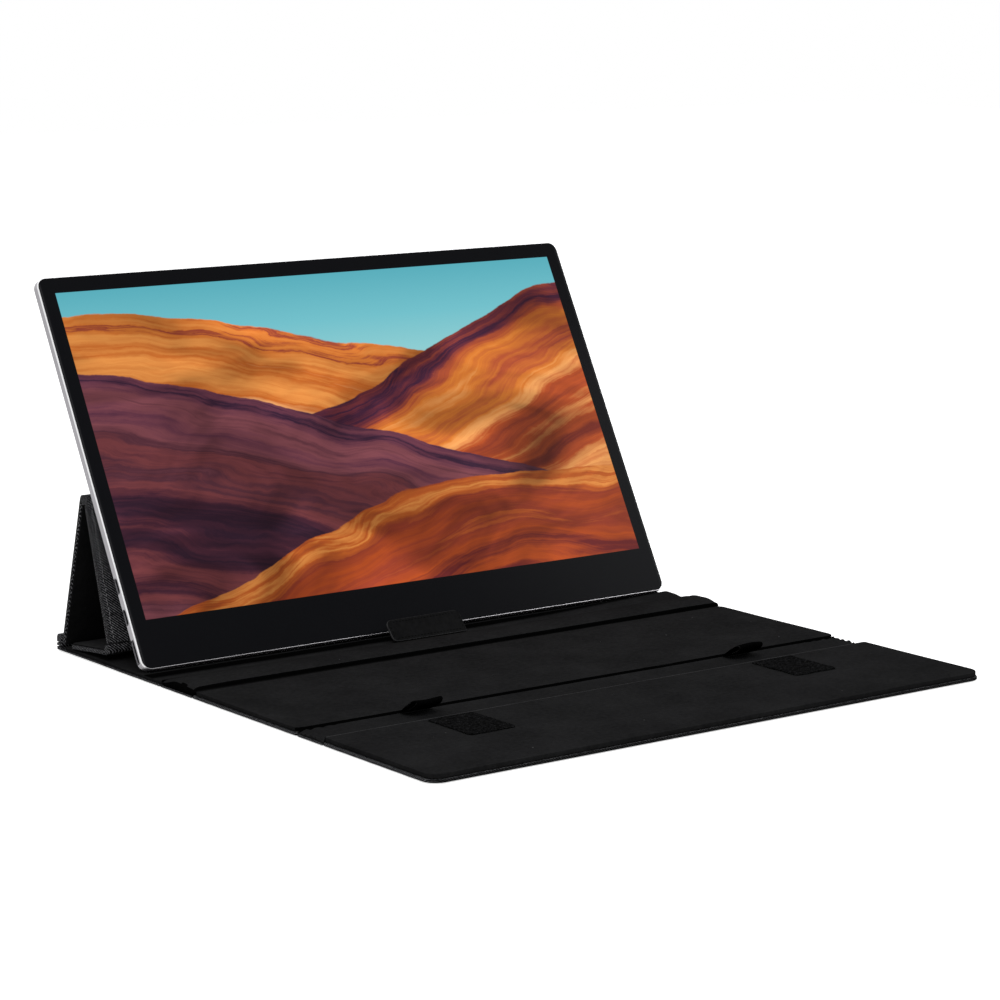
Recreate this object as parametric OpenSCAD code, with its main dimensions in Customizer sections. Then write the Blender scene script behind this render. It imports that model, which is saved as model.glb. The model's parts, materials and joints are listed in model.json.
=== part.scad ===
// Portable monitor leaning on the folded stand of its soft folio cover.
// X runs along the width, -Y points to the viewer, Z is up from the table.
// The origin lies on the table, straight below the screen's lower front edge.

/* [Screen] */
// Width of the lit picture area
active_w = 344.2; // [320:0.2:360]
// Height of the lit picture area
active_h = 193.6; // [180:0.2:204]
// Black border left and right of the picture
side_bezel = 9; // [7:0.1:11]
// Black border above the picture
top_bezel = 9.1; // [6:0.1:14]
// Black border below the picture
chin_h = 27.1; // [24:0.1:34]
// Thickness of the front glass
glass_t = 0.8; // [0.6:0.1:1]
// Height of the glass over the housing's lip
glass_proud = 0.2; // [0:0.1:0.4]
// Lean of the screen back from upright
screen_lean = 28.6; // [25:0.1:32]
// Thickness of the liquid crystal module
lcd_t = 2.4; // [1.8:0.1:2.6]
// Border of the liquid crystal module beside the picture
lcd_side = 1.7; // [1:0.1:2.2]
// Border of the liquid crystal module above the picture
lcd_top = 2.5; // [1:0.1:4]
// Border of the liquid crystal module below the picture
lcd_bottom = 8.5; // [6:0.1:9]

/* [Housing] */
// Metal lip that shows round the glass
lip_w = 0.7; // [0.5:0.1:1.2]
// Thickness of the metal rim
rim_t = 6; // [5.8:0.1:7]
// Thickness over the flat of the back
back_t = 10.2; // [9.6:0.1:12]
// Width of the slope between rim and flat of the back
slope_w = 12; // [11:0.5:16]
// Radius of the housing's corners seen from the front
corner_r = 6; // [4.5:0.5:9]
// Radius of the rim's rear edge
edge_r = 2; // [1:0.1:2.2]
// Width of the bright bevel on the rim's front edge
front_bevel = 0.5; // [0.2:0.1:0.5]
// Depth of the bright bevel on the rim's front edge
bevel_depth = 1.7; // [0.4:0.1:1.9]
// Wall of the housing's back
wall_t = 1.1; // [0.9:0.1:1.4]
// Wall of the housing's rim
rim_wall = 1.8; // [1.5:0.1:2]
// Thickness of the metal plate behind the display
mid_plate_t = 0.6; // [0.4:0.1:0.8]
// Outer diameter of the plate's screw posts
post_d = 4.4; // [3.6:0.1:5.5]

/* [Ports] */
// Height of the upper USB socket above the housing's lower edge
usb_upper_v = 49.7; // [46:0.1:54]
// Height of the lower USB socket above the housing's lower edge
usb_lower_v = 31.6; // [28:0.1:34]
// Depth of the socket centres behind the lip's front
port_depth = 3.3; // [3.2:0.1:3.5]
// Width of the USB socket's steel shell
usb_w = 8.94; // [8.5:0.01:9.2]
// Height of the USB socket's steel shell
usb_h = 3.16; // [3:0.01:3.26]
// Length of the USB socket's steel shell
usb_len = 6.6; // [5.5:0.1:6.9]
// Height of the video socket above the housing's lower edge
hdmi_v = 11.5; // [11:0.1:12.5]
// Width of the video socket's steel shell
hdmi_w = 13.6; // [10:0.1:14]
// Height of the video socket's steel shell
hdmi_h = 3.1; // [2.8:0.1:3.2]
// Length of the video socket's steel shell
hdmi_len = 7.5; // [6:0.1:9]
// Sheet thickness of the sockets' shells
shell_t = 0.3; // [0.2:0.05:0.4]
// Bore of the headphone socket
jack_bore_d = 3.6; // [3.5:0.05:3.7]
// Height of the headphone socket above the housing's lower edge
jack_v = 12.2; // [11:0.1:13]
// Length of the headphone socket
jack_len = 12; // [9:0.5:14]

/* [Controls] */
// Height of the power button above the housing's lower edge
power_v = 62; // [58:0.5:68]
// Length of the power button
power_len = 10; // [7:0.5:12]
// Height of the menu rocker above the housing's lower edge
menu_v = 38; // [35:0.5:42]
// Length of the menu rocker
menu_len = 15; // [12:0.5:18]
// Width of the button and the rocker
key_w = 2; // [1.6:0.1:2.2]
// Height of the button and the rocker over the rim
key_proud = 0.5; // [0.3:0.1:0.7]
// Clearance round the button and the rocker
key_gap = 0.25; // [0.2:0.05:0.35]
// Diameter of the rocker's pin
pin_d = 1; // [0.8:0.1:1.2]
// Travel of the power button
power_travel = 0.4; // [0.2:0.05:0.5]

/* [Electronics] */
// Width of the main board
board_w = 82; // [70:1:90]
// Height of the main board
board_h = 66; // [62:1:76]
// Thickness of both circuit boards
board_t = 1; // [0.8:0.1:1.2]
// Width of the control board
control_w = 24; // [18:1:34]
// Height of the control board
control_h = 68; // [60:1:76]
// Length of each speaker
speaker_w = 40; // [30:1:48]
// Height of each speaker
speaker_h = 13; // [10:0.5:15]
// Depth of each speaker
speaker_t = 4.2; // [3:0.1:4.6]
// Distance of the speakers from the middle
speaker_x = 62; // [52:1:64]
// Width of one speaker slot
slot_w = 1.2; // [0.8:0.1:1.6]
// Pitch of the speaker slots
slot_pitch = 4; // [2.6:0.1:5]
// Length of the magnets in the housing's back
magnet_w = 60; // [40:1:80]
// Distance of the magnets from the middle
magnet_x = 90; // [85:1:120]
// Height of the magnets
magnet_h = 10; // [6:0.5:14]
// Thickness of the magnets in the housing
magnet_thick = 1.6; // [1:0.1:2]
// Distance of the back leg's magnets below its apex fold
leg_magnet_drop = 16; // [12:1:40]

/* [Cover] */
// How far the cover's sides stand past the screen's sides
cover_over = 0.5; // [-1:0.1:3]
// Thickness of the base panel
base_t = 2.9; // [2.6:0.1:4.6]
// Depth of the base panel in front of the screen's lower edge
base_front = 18; // [16:0.5:26]
// Depth of the base panel behind the screen's lower edge
base_back = 96.3; // [95:0.5:104]
// Depth of the arched spine
spine_len = 32.8; // [22:0.1:36]
// Height of the arched spine at its rear crease
spine_low = 3.8; // [3.2:0.1:4.8]
// Height of the arched spine at its front lip
spine_lip = 6.2; // [5.6:0.1:6.8]
// Extra height of the spine's crown
spine_crown = 1.7; // [1:0.1:2.6]
// Depth of the inner panel
inner_len = 101.2; // [95:0.1:104]
// Thickness of the inner panel
inner_t = 4.1; // [3.4:0.1:4.8]
// Depth of the thin middle spine
middle_len = 23.7; // [22:0.1:28]
// Thickness of the thin middle spine
middle_t = 2.2; // [1.8:0.1:2.6]
// Depth of the front panel
front_len = 93.2; // [84:0.1:98]
// Thickness of the front panel
front_t = 4.6; // [3.8:0.1:4.8]
// Radius of the front panel's outer corners
front_r = 8.5; // [6:0.5:16]
// Radius of the other panels' corners
panel_r = 3; // [1.5:0.5:5]
// Step of the lining behind the outer fabric's edge
lining_step = 0.8; // [0.4:0.1:1.4]
// Distance of the stiff boards from the panels' edges
board_inset = 2.4; // [1.6:0.1:4]
// Thickness of the lining
lining_t = 0.9; // [0.6:0.1:1.2]
// Thickness of the folded fabric edge
fabric_t = 0.8; // [0.6:0.1:1]
// Half gap of a crease
crease_gap = 0.4; // [0.3:0.05:0.5]

/* [Cover details] */
// Distance of the hook patches from the middle
patch_x = 108; // [90:1:130]
// Width of a hook patch
patch_w = 29; // [22:0.5:34]
// Depth of a hook patch
patch_len = 38; // [28:0.5:44]
// Thickness of a hook patch
patch_t = 0.9; // [0.6:0.1:1.1]
// Distance from the front panel's crease to a hook patch
patch_gap = 4.3; // [3.5:0.1:12]
// Distance of the pull loops from the middle
loop_x = 108.5; // [90:0.5:130]
// Width of a pull loop's ribbon
loop_w = 20; // [14:0.5:26]
// Reach of a pull loop to the front
loop_reach = 12; // [10:0.5:13]
// Rise of a pull loop's tip
loop_rise = 8.6; // [6:0.1:10]
// Thickness of the loops' ribbon
ribbon_t = 0.9; // [0.6:0.1:1.1]
// Half height of a pull loop's opening
loop_bulge = 1.9; // [1.5:0.1:2.1]
// Middle of the stitched tab along the width
tab_x = -5; // [-40:0.5:40]
// Width of the stitched tab
tab_w = 50.5; // [40:0.5:70]
// Length of the stitched tab
tab_len = 14; // [10:0.5:15]
// Thickness of the stitched tab
tab_t = 1.5; // [1.2:0.1:1.8]
// Corner radius of the stitched tab
tab_r = 3.5; // [2:0.5:5]
// Angle of the stitched tab above the base
tab_angle = 48.5; // [40:0.5:60]
// Distance of the tab's fold behind the base's front crease
tab_back = 1; // [0.8:0.1:4]

/* [Stand] */
// Thickness of the stand's panels
leg_t = 3.1; // [2.6:0.1:3.6]
// Lining and fabric thickness on the stand's panels
leg_skin = 0.8; // [0.6:0.1:1]
// Length of the back leg between its folds
back_leg_len = 90.6; // [88:0.1:94]
// Distance between the stand's rear fold and its foot fold
stand_span = 48; // [42:0.5:52]
// Distance the foot flap's free end keeps from the rear fold
flap_end_gap = 6.3; // [5.5:0.1:10]
// Distance of the back leg's fold from the base's rear edge
rear_margin = 9.7; // [9.2:0.1:14]
// Height of the foot fold over the base panel
foot_h = 7.2; // [6:0.1:9]
// Gap between the stand and what leans on it
rest_gap = 0.3; // [0.2:0.05:0.5]
// Gap under the screen's lower edge
sill_gap = 0.15; // [0.1:0.05:0.3]

/* [Hidden] */
$fn = 48;
eps = 0.01;

// Screen sizes that follow from the picture area and its borders
glass_w = active_w + 2 * side_bezel;
glass_h = active_h + top_bezel + chin_h;
body_w = glass_w + 2 * lip_w;
body_h = glass_h + 2 * lip_w;
half_body = body_w / 2;
cover_w = body_w + 2 * cover_over;
glass_back = glass_t - glass_proud;
lcd_w = active_w + 2 * lcd_side;
lcd_v = lip_w + chin_h - lcd_bottom;
lcd_h = active_h + lcd_bottom + lcd_top;
lcd_back = glass_back + lcd_t;
plate_back = lcd_back + mid_plate_t;
board_front = port_depth + usb_h / 2;
board_back = board_front + board_t;
board_x = -half_body + 6.5;
board_v = 6.5;
control_x = half_body - 6.5 - control_w;
control_v = 7;
cavity_back = back_t - wall_t;
speaker_v = slope_w + 3;
pin_in = 3.3;
slope_foot = edge_r + 0.6;
slope_k = (back_t - rim_t + 0.5) / (slope_w - slope_foot);

// The lower front edge stands so high that the rounded rear edge just clears the base
screen_z = base_t + sill_gap + rim_t * sin(screen_lean)
  - edge_r * (cos(screen_lean) + sin(screen_lean) - 1);

// Crease lines of the cover, from back to front
crease_a = -base_front;
crease_b = crease_a - spine_len;
crease_c = crease_b - inner_len;
crease_d = crease_c - middle_len;
front_edge = crease_d - front_len;

// The stand: its top touches the screen's back at every size
rear_fold_y = base_back - rear_margin;
rear_fold_z = base_t + rest_gap;
lean_distance = rear_fold_y * cos(screen_lean) - (rear_fold_z - screen_z) * sin(screen_lean)
  - (back_t + leg_t + rest_gap);
back_leg_angle = acos(-lean_distance / back_leg_len) - screen_lean;
apex_y = rear_fold_y + back_leg_len * cos(back_leg_angle);
apex_z = rear_fold_z + back_leg_len * sin(back_leg_angle);
foot_z = base_t + foot_h;
foot_y = rear_fold_y - stand_span;
front_leg_len = norm([apex_y - foot_y, apex_z - foot_z]);
front_leg_angle = 180 + atan2(apex_z - foot_z, apex_y - foot_y);
flap_len = stand_span - flap_end_gap;
apex_v = apex_y * sin(screen_lean) + (apex_z - screen_z) * cos(screen_lean);
flap_reach = sqrt(flap_len * flap_len + leg_t * leg_t);
flap_angle = atan(leg_t / flap_len) - asin((foot_h - rest_gap) / flap_reach);
fold_r = leg_t;
fold_clear = fold_r + rest_gap;

tab_y = crease_a + tab_back;
tab_z = base_t + tab_t / 2 + sill_gap;

silver = [0.80, 0.81, 0.82];
weave = [0.12, 0.12, 0.13];
leather = [0.10, 0.10, 0.10];
card = [0.45, 0.42, 0.38];
steel = [0.62, 0.63, 0.65];
pcb = [0.05, 0.28, 0.16];
black = [0.03, 0.03, 0.035];

// Stands the flat-built screen up: local X is the width, Y climbs the screen, Z faces the viewer
module leaning() {
  translate([0, 0, screen_z]) rotate([90 - screen_lean, 0, 0]) children();
}

// Rectangle of width w between two Y values, with its own corner radius at each end
module strip_outline(w, y0, y1, r0, r1) {
  translate([-w / 2, y0 + r0]) square([w, y1 - r1 - y0 - r0]);
  for (end = [[y0, r0, 1], [y1, r1, -1]]) {
    translate([-w / 2 + end[1], min(end[0], end[0] + end[2] * end[1]) - (end[2] < 0 ? eps : 0)])
      square([w - 2 * end[1], end[1] + eps]);
    for (side = [-1, 1])
      translate([side * (w / 2 - end[1]), end[0] + end[2] * end[1]]) circle(end[1]);
  }
}

// One flat layer of a panel between two Y and two Z values
module layer(y0, y1, z0, z1, step = 0, r0 = panel_r, r1 = panel_r) {
  translate([0, 0, z0]) linear_extrude(z1 - z0)
    strip_outline(cover_w - 2 * step, y0, y1, max(r0 - step, 0.5), max(r1 - step, 0.5));
}

// Fabric with its edge turned up round a board: a shallow tray between two Y and two Z values
module tray(y0, y1, z0, z1, floor_t, py0, py1, step = 0, r0 = panel_r, r1 = panel_r) {
  difference() {
    layer(y0, y1, z0, z1, step, r0, r1);
    layer(py0, py1, z0 + floor_t, z1 + 1, board_inset, r0, r1);
  }
}

// Rounded slot profile, long side along Y
module stadium(len, wid) {
  square([wid, len - wid], center = true);
  for (side = [-1, 1]) translate([0, side * (len - wid) / 2]) circle(wid / 2);
}

// Places a cutter or part on a side edge: local Z points out of the edge, Y climbs it
module on_edge(side, v, depth) {
  translate([side * half_body, v, -depth]) rotate([0, side * 90, 0]) children();
}

// Section through the rim's outer corner: bevelled in front, rounded at the rear
module rim_section() {
  rear = edge_r - rim_t;
  polygon([[0, 0], [corner_r - front_bevel, 0], [corner_r, -bevel_depth], [corner_r, rear],
    [corner_r - edge_r, rear], [corner_r - edge_r, -rim_t], [0, -rim_t]]);
  intersection() {
    translate([corner_r - edge_r, rear]) circle(edge_r);
    translate([corner_r - edge_r - eps, -rim_t]) square(edge_r + eps);
  }
}

module housing_form() {
  x = half_body - corner_r;
  y = body_h - 2 * corner_r;
  translate([-x, corner_r, -rim_t]) cube([2 * x, y, rim_t]);
  translate([x, corner_r, 0]) rotate([90, 0, 0]) mirror([0, 0, 1])
    linear_extrude(y) rim_section();
  translate([-x, corner_r + y, 0]) rotate([90, 0, 180]) mirror([0, 0, 1])
    linear_extrude(y) rim_section();
  translate([x, corner_r + y, 0]) rotate([90, 0, 90]) mirror([0, 0, 1])
    linear_extrude(2 * x) rim_section();
  translate([-x, corner_r, 0]) rotate([90, 0, -90]) mirror([0, 0, 1])
    linear_extrude(2 * x) rim_section();
  for (c = [[x, corner_r + y, 0], [-x, corner_r + y, 90], [-x, corner_r, 180],
    [x, corner_r, 270]])
    translate([c[0], c[1], 0]) rotate([0, 0, c[2]]) rotate_extrude(angle = 90) rim_section();
  back_bulge(rim_t - 0.5, slope_foot, 5, back_t, slope_w, 6);
}

// Frustum with rounded corners between two depths, each with its inset and corner radius
module back_bulge(depth0, inset0, r0, depth1, inset1, r1) {
  hull() for (sx = [-1, 1], sy = [-1, 1], d = [[depth0, inset0, r0], [depth1, inset1, r1]])
    translate([sx * (half_body - d[1] - d[2]), body_h / 2 + sy * (body_h / 2 - d[1] - d[2]),
      -d[0]]) cylinder(r = d[2], h = 0.4, $fn = 24);
}

module housing_cavity() {
  translate([0, 0, -rim_t + edge_r * 0.6]) linear_extrude(rim_t)
    strip_outline(body_w - 2 * rim_wall, rim_wall, body_h - rim_wall, 3, 3);
  wall_rise = wall_t * 1.12;
  back_bulge(rim_t - 0.5 + 0.6 * slope_k - wall_rise, slope_foot + 0.6, 4,
    cavity_back, slope_w + (wall_rise - wall_t) / slope_k, 5);
}

module cover_glass() {
  color([0.05, 0.055, 0.06]) leaning() translate([0, 0, -glass_back])
    linear_extrude(glass_t) strip_outline(glass_w - 0.1, lip_w + 0.05, lip_w + glass_h - 0.05,
      corner_r - lip_w, corner_r - lip_w);
}

module lcd_panel() {
  color([0.55, 0.35, 0.30]) leaning() translate([-lcd_w / 2, lcd_v, -lcd_back])
    cube([lcd_w, lcd_h, lcd_t]);
}

post_points = [for (x = [8, board_w - 8], v = [22, board_h - 6]) [board_x + x, board_v + v]];

module mid_plate() {
  color(steel) leaning() difference() {
    union() {
      translate([-lcd_w / 2 + 1, lcd_v + 2, -plate_back])
        cube([lcd_w - 2, lcd_h - 4, mid_plate_t]);
      for (p = post_points) translate([p[0], p[1], -board_front])
        cylinder(d = post_d, h = board_front - plate_back + mid_plate_t / 2, $fn = 12);
    }
    for (p = post_points) translate([p[0], p[1], -board_front - 1])
      cylinder(d = 2.1, h = board_front + 1 - plate_back + 0.3);
  }
}

module rear_housing() {
  color(silver) leaning() difference() {
    union() {
      difference() {
        housing_form();
        translate([0, 0, -glass_back]) linear_extrude(glass_back + 1)
          strip_outline(glass_w, lip_w, lip_w + glass_h, corner_r - lip_w, corner_r - lip_w);
        housing_cavity();
      }
      translate([half_body - 4.7, menu_v - 1.6, -2.1]) cube([3.4, 3.2, 1]);
      translate([half_body - 4.7, menu_v - 1.6, -rim_t]) cube([2.2, 3.2, 1.4]);
    }
    translate([half_body - pin_in, menu_v, -rim_t + 0.3]) cylinder(d = pin_d, h = rim_t);
    for (v = [usb_upper_v, usb_lower_v]) on_edge(-1, v, port_depth)
      translate([0, 0, -4]) linear_extrude(5) stadium(usb_w + 0.3, usb_h + 0.3);
    on_edge(-1, hdmi_v, port_depth) translate([0, 0, -4])
      linear_extrude(5) square([hdmi_h + 0.3, hdmi_w + 0.3], center = true);
    on_edge(1, jack_v, port_depth) translate([0, 0, -5.1]) cylinder(d = jack_bore_d + 1, h = 7);
    on_edge(1, power_v, port_depth) translate([0, 0, -3])
      linear_extrude(4) stadium(power_len + 2 * key_gap, key_w + 2 * key_gap);
    on_edge(1, menu_v, port_depth) translate([0, 0, -3])
      linear_extrude(4) stadium(menu_len + 4 * key_gap, key_w + 2 * key_gap);
    for (side = [-1, 1], i = [-2:2])
      translate([side * speaker_x + i * slot_pitch, speaker_v + speaker_h / 2, -back_t - 1])
        linear_extrude(4) stadium(speaker_h - 5, slot_w, $fn = 8);
  }
}

module main_board() {
  color(pcb) leaning() difference() {
    union() {
      translate([board_x, board_v, -board_back]) linear_extrude(board_t)
        polygon([[5, 0], [board_w, 0], [board_w, board_h], [0, board_h], [0, 5]]);
      translate([board_x + 30, board_v + 26, -board_back - 1.4]) cube([18, 18, 1.4 + eps]);
      translate([board_x + 56, board_v + 12, -board_back - 1]) cube([12, 9, 1 + eps]);
      translate([board_x + 14, board_v + 42, -board_back - 1.2]) cube([9, 12, 1.2 + eps]);
      for (i = [0:2]) translate([board_x + 54 + i * 6, board_v + 36, -board_back - 1.6])
        cylinder(d = 4, h = 1.6 + eps, $fn = 12);
    }
    for (p = post_points) translate([p[0], p[1], -board_back - 1])
      cylinder(d = 2.3, h = board_t + 2);
  }
}

module board_screws() {
  color(steel) leaning() for (p = post_points) translate([p[0], p[1], 0]) {
    translate([0, 0, -board_back - 1]) cylinder(d = 3.8, h = 1, $fn = 12);
    translate([0, 0, -board_back - eps])
      cylinder(d = 2, h = board_back - plate_back - 0.2, $fn = 12);
  }
}

// Steel shell open to the outside, with the contact tongue in its middle
module usb_socket(v) {
  color(steel) leaning() on_edge(-1, v, port_depth) {
    difference() {
      translate([0, 0, -usb_len - 0.6]) linear_extrude(usb_len) stadium(usb_w, usb_h);
      translate([0, 0, -usb_len + 0.4]) linear_extrude(usb_len)
        stadium(usb_w - 2 * shell_t, usb_h - 2 * shell_t);
    }
    translate([-0.35, -3.3, -usb_len + 0.3]) cube([0.7, 6.6, usb_len - 1.6]);
  }
}

module upper_usb_socket() { usb_socket(usb_upper_v); }
module lower_usb_socket() { usb_socket(usb_lower_v); }

// The video socket's shell narrows towards the back of the screen
module video_outline(grow) {
  w = hdmi_w / 2 - grow;
  h = hdmi_h / 2 - grow;
  polygon([[h, -w], [h, w], [1.1 - h, w], [-h, w - 1.3], [-h, 1.3 - w], [1.1 - h, -w]]);
}

module video_socket() {
  color(steel) leaning() on_edge(-1, hdmi_v, port_depth) {
    difference() {
      translate([0, 0, -hdmi_len - 0.6]) linear_extrude(hdmi_len) video_outline(0);
      translate([0, 0, -hdmi_len + 0.4]) linear_extrude(hdmi_len) video_outline(shell_t);
    }
    translate([-0.3, -3.6, -hdmi_len + 0.3]) cube([0.6, 7.2, hdmi_len - 2]);
  }
}

module headphone_socket() {
  color(black) leaning() on_edge(1, jack_v, port_depth) difference() {
    union() {
      translate([0, 0, -4.9]) cylinder(d = jack_bore_d + 0.8, h = 4.6);
      translate([-2.4, -3, -jack_len - 0.3]) cube([4.3, 6, jack_len - 4.5]);
    }
    translate([0, 0, -jack_len + 1]) cylinder(d = jack_bore_d, h = jack_len);
  }
}

// Board behind the right rim with a switch under each key
module control_board() {
  color(pcb) leaning() {
    translate([control_x, control_v + 12, -board_back]) cube([control_w, control_h - 12, board_t]);
    for (v = [menu_v - 5, menu_v + 5, power_v]) {
      translate([control_x + control_w - 1.2, v - 1.5, -board_front - eps])
        cube([3.6, 3, board_front - 2.2]);
    }
  }
}

module speaker(side) {
  color(black) leaning()
    translate([side * speaker_x - speaker_w / 2, speaker_v, -plate_back - speaker_t])
      difference() {
        cube([speaker_w, speaker_h, speaker_t]);
        translate([speaker_w / 2, speaker_h / 2, -eps]) linear_extrude(0.6)
          square([speaker_w - 8, speaker_h - 4], center = true);
      }
}

module left_speaker() { speaker(-1); }
module right_speaker() { speaker(1); }

// Flat cable from the display's lower edge round the plate to the main board
module display_ribbon() {
  color([0.75, 0.45, 0.12]) leaning()
    translate([board_x + 40, 0, 0]) rotate([90, 0, 90]) linear_extrude(26)
      polygon([[lcd_v, -1.4], [lcd_v - 1.2, -1.4], [lcd_v - 1.2, -board_front + 0.2],
        [board_v + 24, -board_front + 0.2], [board_v + 24, -board_front],
        [lcd_v - 1.4, -board_front], [lcd_v - 1.4, -1.2], [lcd_v, -1.2]]);
}

module control_ribbon() {
  color([0.75, 0.45, 0.12]) leaning()
    translate([board_x + board_w - 6, board_v + board_h - 16, -board_front])
      cube([control_x - board_x - board_w + 12, 7, 0.2]);
}

module housing_magnets() {
  color(steel) leaning() for (side = [-1, 1])
    translate([side * magnet_x - magnet_w / 2, apex_v - magnet_h / 2, -cavity_back])
      cube([magnet_w, magnet_h, magnet_thick]);
}

// Pin that carries the menu rocker, held by two small ears inside the rim
module rocker_pin() {
  color(steel) leaning() translate([half_body - pin_in, menu_v, -rim_t + 0.3])
    cylinder(d = pin_d, h = rim_t - 1.5);
}

module power_button() {
  color(silver) leaning() on_edge(1, power_v, port_depth) {
    translate([0, 0, -3.2]) linear_extrude(3.2 + key_proud) stadium(power_len, key_w);
    translate([0, 0, -3.6]) linear_extrude(0.5) stadium(power_len + 2, key_w + 0.6);
  }
}

module menu_rocker() {
  color(silver) leaning() on_edge(1, menu_v, port_depth) difference() {
    union() {
      translate([0, 0, -1.6]) linear_extrude(1.6 + key_proud) stadium(menu_len, key_w);
      translate([-key_w / 2, -2.2, -4.2]) cube([key_w, 4.4, 3]);
      for (y = [-5, 5]) translate([-0.8, y - 0.8, -3.6]) cube([1.6, 1.6, 2.4]);
    }
    translate([-key_w, 0, -pin_in]) rotate([0, 90, 0])
      cylinder(d = pin_d + 0.06, h = 2 * key_w);
    translate([0, 0, key_proud]) rotate([90, 0, 0]) scale([1, 0.3, 1])
      cylinder(d = key_w * 0.5, h = menu_len * 0.3, center = true);
  }
}

module base_outer() {
  color(weave) tray(crease_a + crease_gap, base_back, 0, base_t - lining_t, fabric_t,
    crease_a + board_inset, base_back - rear_margin - board_inset, 0, 1, panel_r);
}

// Bulge of the outer fabric where it turns up behind the back leg
module rear_fold() {
  r = (rear_margin - leg_t - 1.6) / 2;
  y = base_back - r - 0.1;
  color(weave) translate([-cover_w / 2 + 2, 0, 0]) rotate([90, 0, 90])
    linear_extrude(cover_w - 4) {
      translate([y, base_t + r]) circle(r);
      translate([y - r, base_t - lining_t]) square([2 * r, lining_t + r]);
    }
}

module base_board() {
  color(card) layer(crease_a + board_inset, base_back - rear_margin - board_inset,
    fabric_t, base_t - lining_t, board_inset);
}

module base_lining() {
  color(leather) layer(crease_a + crease_gap, base_back - rear_margin + leg_t / 2,
    base_t - lining_t, base_t, lining_step, 1, 1);
}

// Springy leather tab sewn to the base in front of the screen
module stitched_tab() {
  color(leather) translate([tab_x, tab_y, tab_z]) rotate([tab_angle, 0, 0])
    translate([0, 0, -tab_t / 2]) linear_extrude(tab_t) strip_outline(tab_w, 0, tab_len, 1, tab_r);
}

// Height of the spine's arched top, u from 0 at its rear crease to 1 at its front lip
function spine_top(u) = spine_low + (spine_lip - spine_low) * u + spine_crown * sin(180 * u);
spine_back_y = crease_a - crease_gap - 0.1;
spine_front_y = crease_b + crease_gap + 0.1;
function spine_y(u) = spine_back_y + (spine_front_y - spine_back_y) * u;
spine_steps = 12;

module spine_sheet(from_top, to_top, w) {
  us = [for (i = [0:spine_steps]) i / spine_steps];
  translate([-w / 2, 0, 0]) rotate([90, 0, 90]) linear_extrude(w)
    polygon(concat(
      [for (u = us) [spine_y(u), spine_top(u) - from_top]],
      [for (i = [spine_steps:-1:0]) [spine_y(us[i]), to_top < 0 ? fabric_t
        : spine_top(us[i]) - to_top]]));
}

module spine_outer() {
  color(weave) layer(spine_front_y, spine_back_y, 0, fabric_t, 0, 1, 1);
}

module spine_pad() {
  color(card) intersection() {
    spine_sheet(lining_t, -1, cover_w - 2 * lining_step);
    translate([-cover_w, spine_front_y + 1, 0]) cube([2 * cover_w, spine_len - 3, 20]);
  }
}

module spine_lining() { color(leather) spine_sheet(0, lining_t, cover_w - 2 * lining_step); }

module inner_outer() {
  color(weave) tray(crease_c + crease_gap, crease_b - crease_gap, 0, inner_t - lining_t,
    fabric_t, crease_c + board_inset, crease_b - board_inset, 0, 1, 1);
}

module inner_board() {
  color(card) layer(crease_c + board_inset, crease_b - board_inset,
    fabric_t, inner_t - lining_t, board_inset);
}

module inner_lining() {
  color(leather) layer(crease_c + crease_gap, crease_b - crease_gap,
    inner_t - lining_t, inner_t, lining_step, panel_r, panel_r);
}

module middle_outer() {
  color(weave) layer(crease_d + crease_gap, crease_c - crease_gap, 0, middle_t / 2, 0, 1, 1);
}

module middle_lining() {
  color(leather) layer(crease_d + crease_gap, crease_c - crease_gap, middle_t / 2, middle_t,
    lining_step, 1, 1);
}

// Teardrop outline of a sewn ribbon loop, thin at its root and open towards its tip
module loop_outline(grow) {
  reach = sqrt(loop_reach * loop_reach + loop_rise * loop_rise) - ribbon_t / 2;
  polygon([for (a = [0:15:345]) [
    -(reach + grow) * (1 - cos(a)) / 2 + (grow < 0 ? -1.2 : 0),
    (loop_bulge + grow) * sin(a) * (1.1 - cos(a)) / 1.5
  ]]);
}

module pull_loop(side) {
  root_y = crease_c - 3;
  root_z = middle_t + loop_bulge * 0.22 + 0.2;
  color(black) translate([side * loop_x - loop_w / 2, root_y, root_z])
    rotate([-atan(loop_rise / loop_reach), 0, 0]) rotate([90, 0, 90]) linear_extrude(loop_w)
      difference() {
        loop_outline(ribbon_t / 2);
        loop_outline(-ribbon_t / 2);
      }
}

module left_pull_loop() { pull_loop(-1); }
module right_pull_loop() { pull_loop(1); }

module front_outer() {
  color(weave) tray(front_edge, crease_d - crease_gap, 0, front_t - lining_t, fabric_t,
    front_edge + board_inset, crease_d - board_inset, 0, front_r, 1);
}

module front_board() {
  color(card) layer(front_edge + board_inset, crease_d - board_inset,
    fabric_t, front_t - lining_t, board_inset, front_r, 1);
}

module front_lining() {
  color(leather) layer(front_edge + lining_step, crease_d - crease_gap,
    front_t - lining_t, front_t, lining_step, front_r, 1);
}

module hook_patch(side) {
  color(black) translate([side * patch_x, 0, front_t]) linear_extrude(patch_t)
    strip_outline(patch_w, crease_d - patch_gap - patch_len, crease_d - patch_gap, 2, 2);
}

module left_hook_patch() { hook_patch(-1); }
module right_hook_patch() { hook_patch(1); }

// Puts a stand panel in place: local Y runs from its fold, local Z faces into the triangle
module back_leg_place() {
  translate([0, rear_fold_y, rear_fold_z]) rotate([back_leg_angle, 0, 0]) children();
}

module front_leg_place() {
  translate([0, apex_y, apex_z]) rotate([front_leg_angle, 0, 0]) children();
}

module flap_place() {
  translate([0, foot_y, foot_z]) rotate([flap_angle, 0, 0]) children();
}

back_leg_span = [1, back_leg_len - fold_r];
front_leg_span = [fold_clear, front_leg_len - fold_r];
flap_span = [fold_clear, flap_len];

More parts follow.
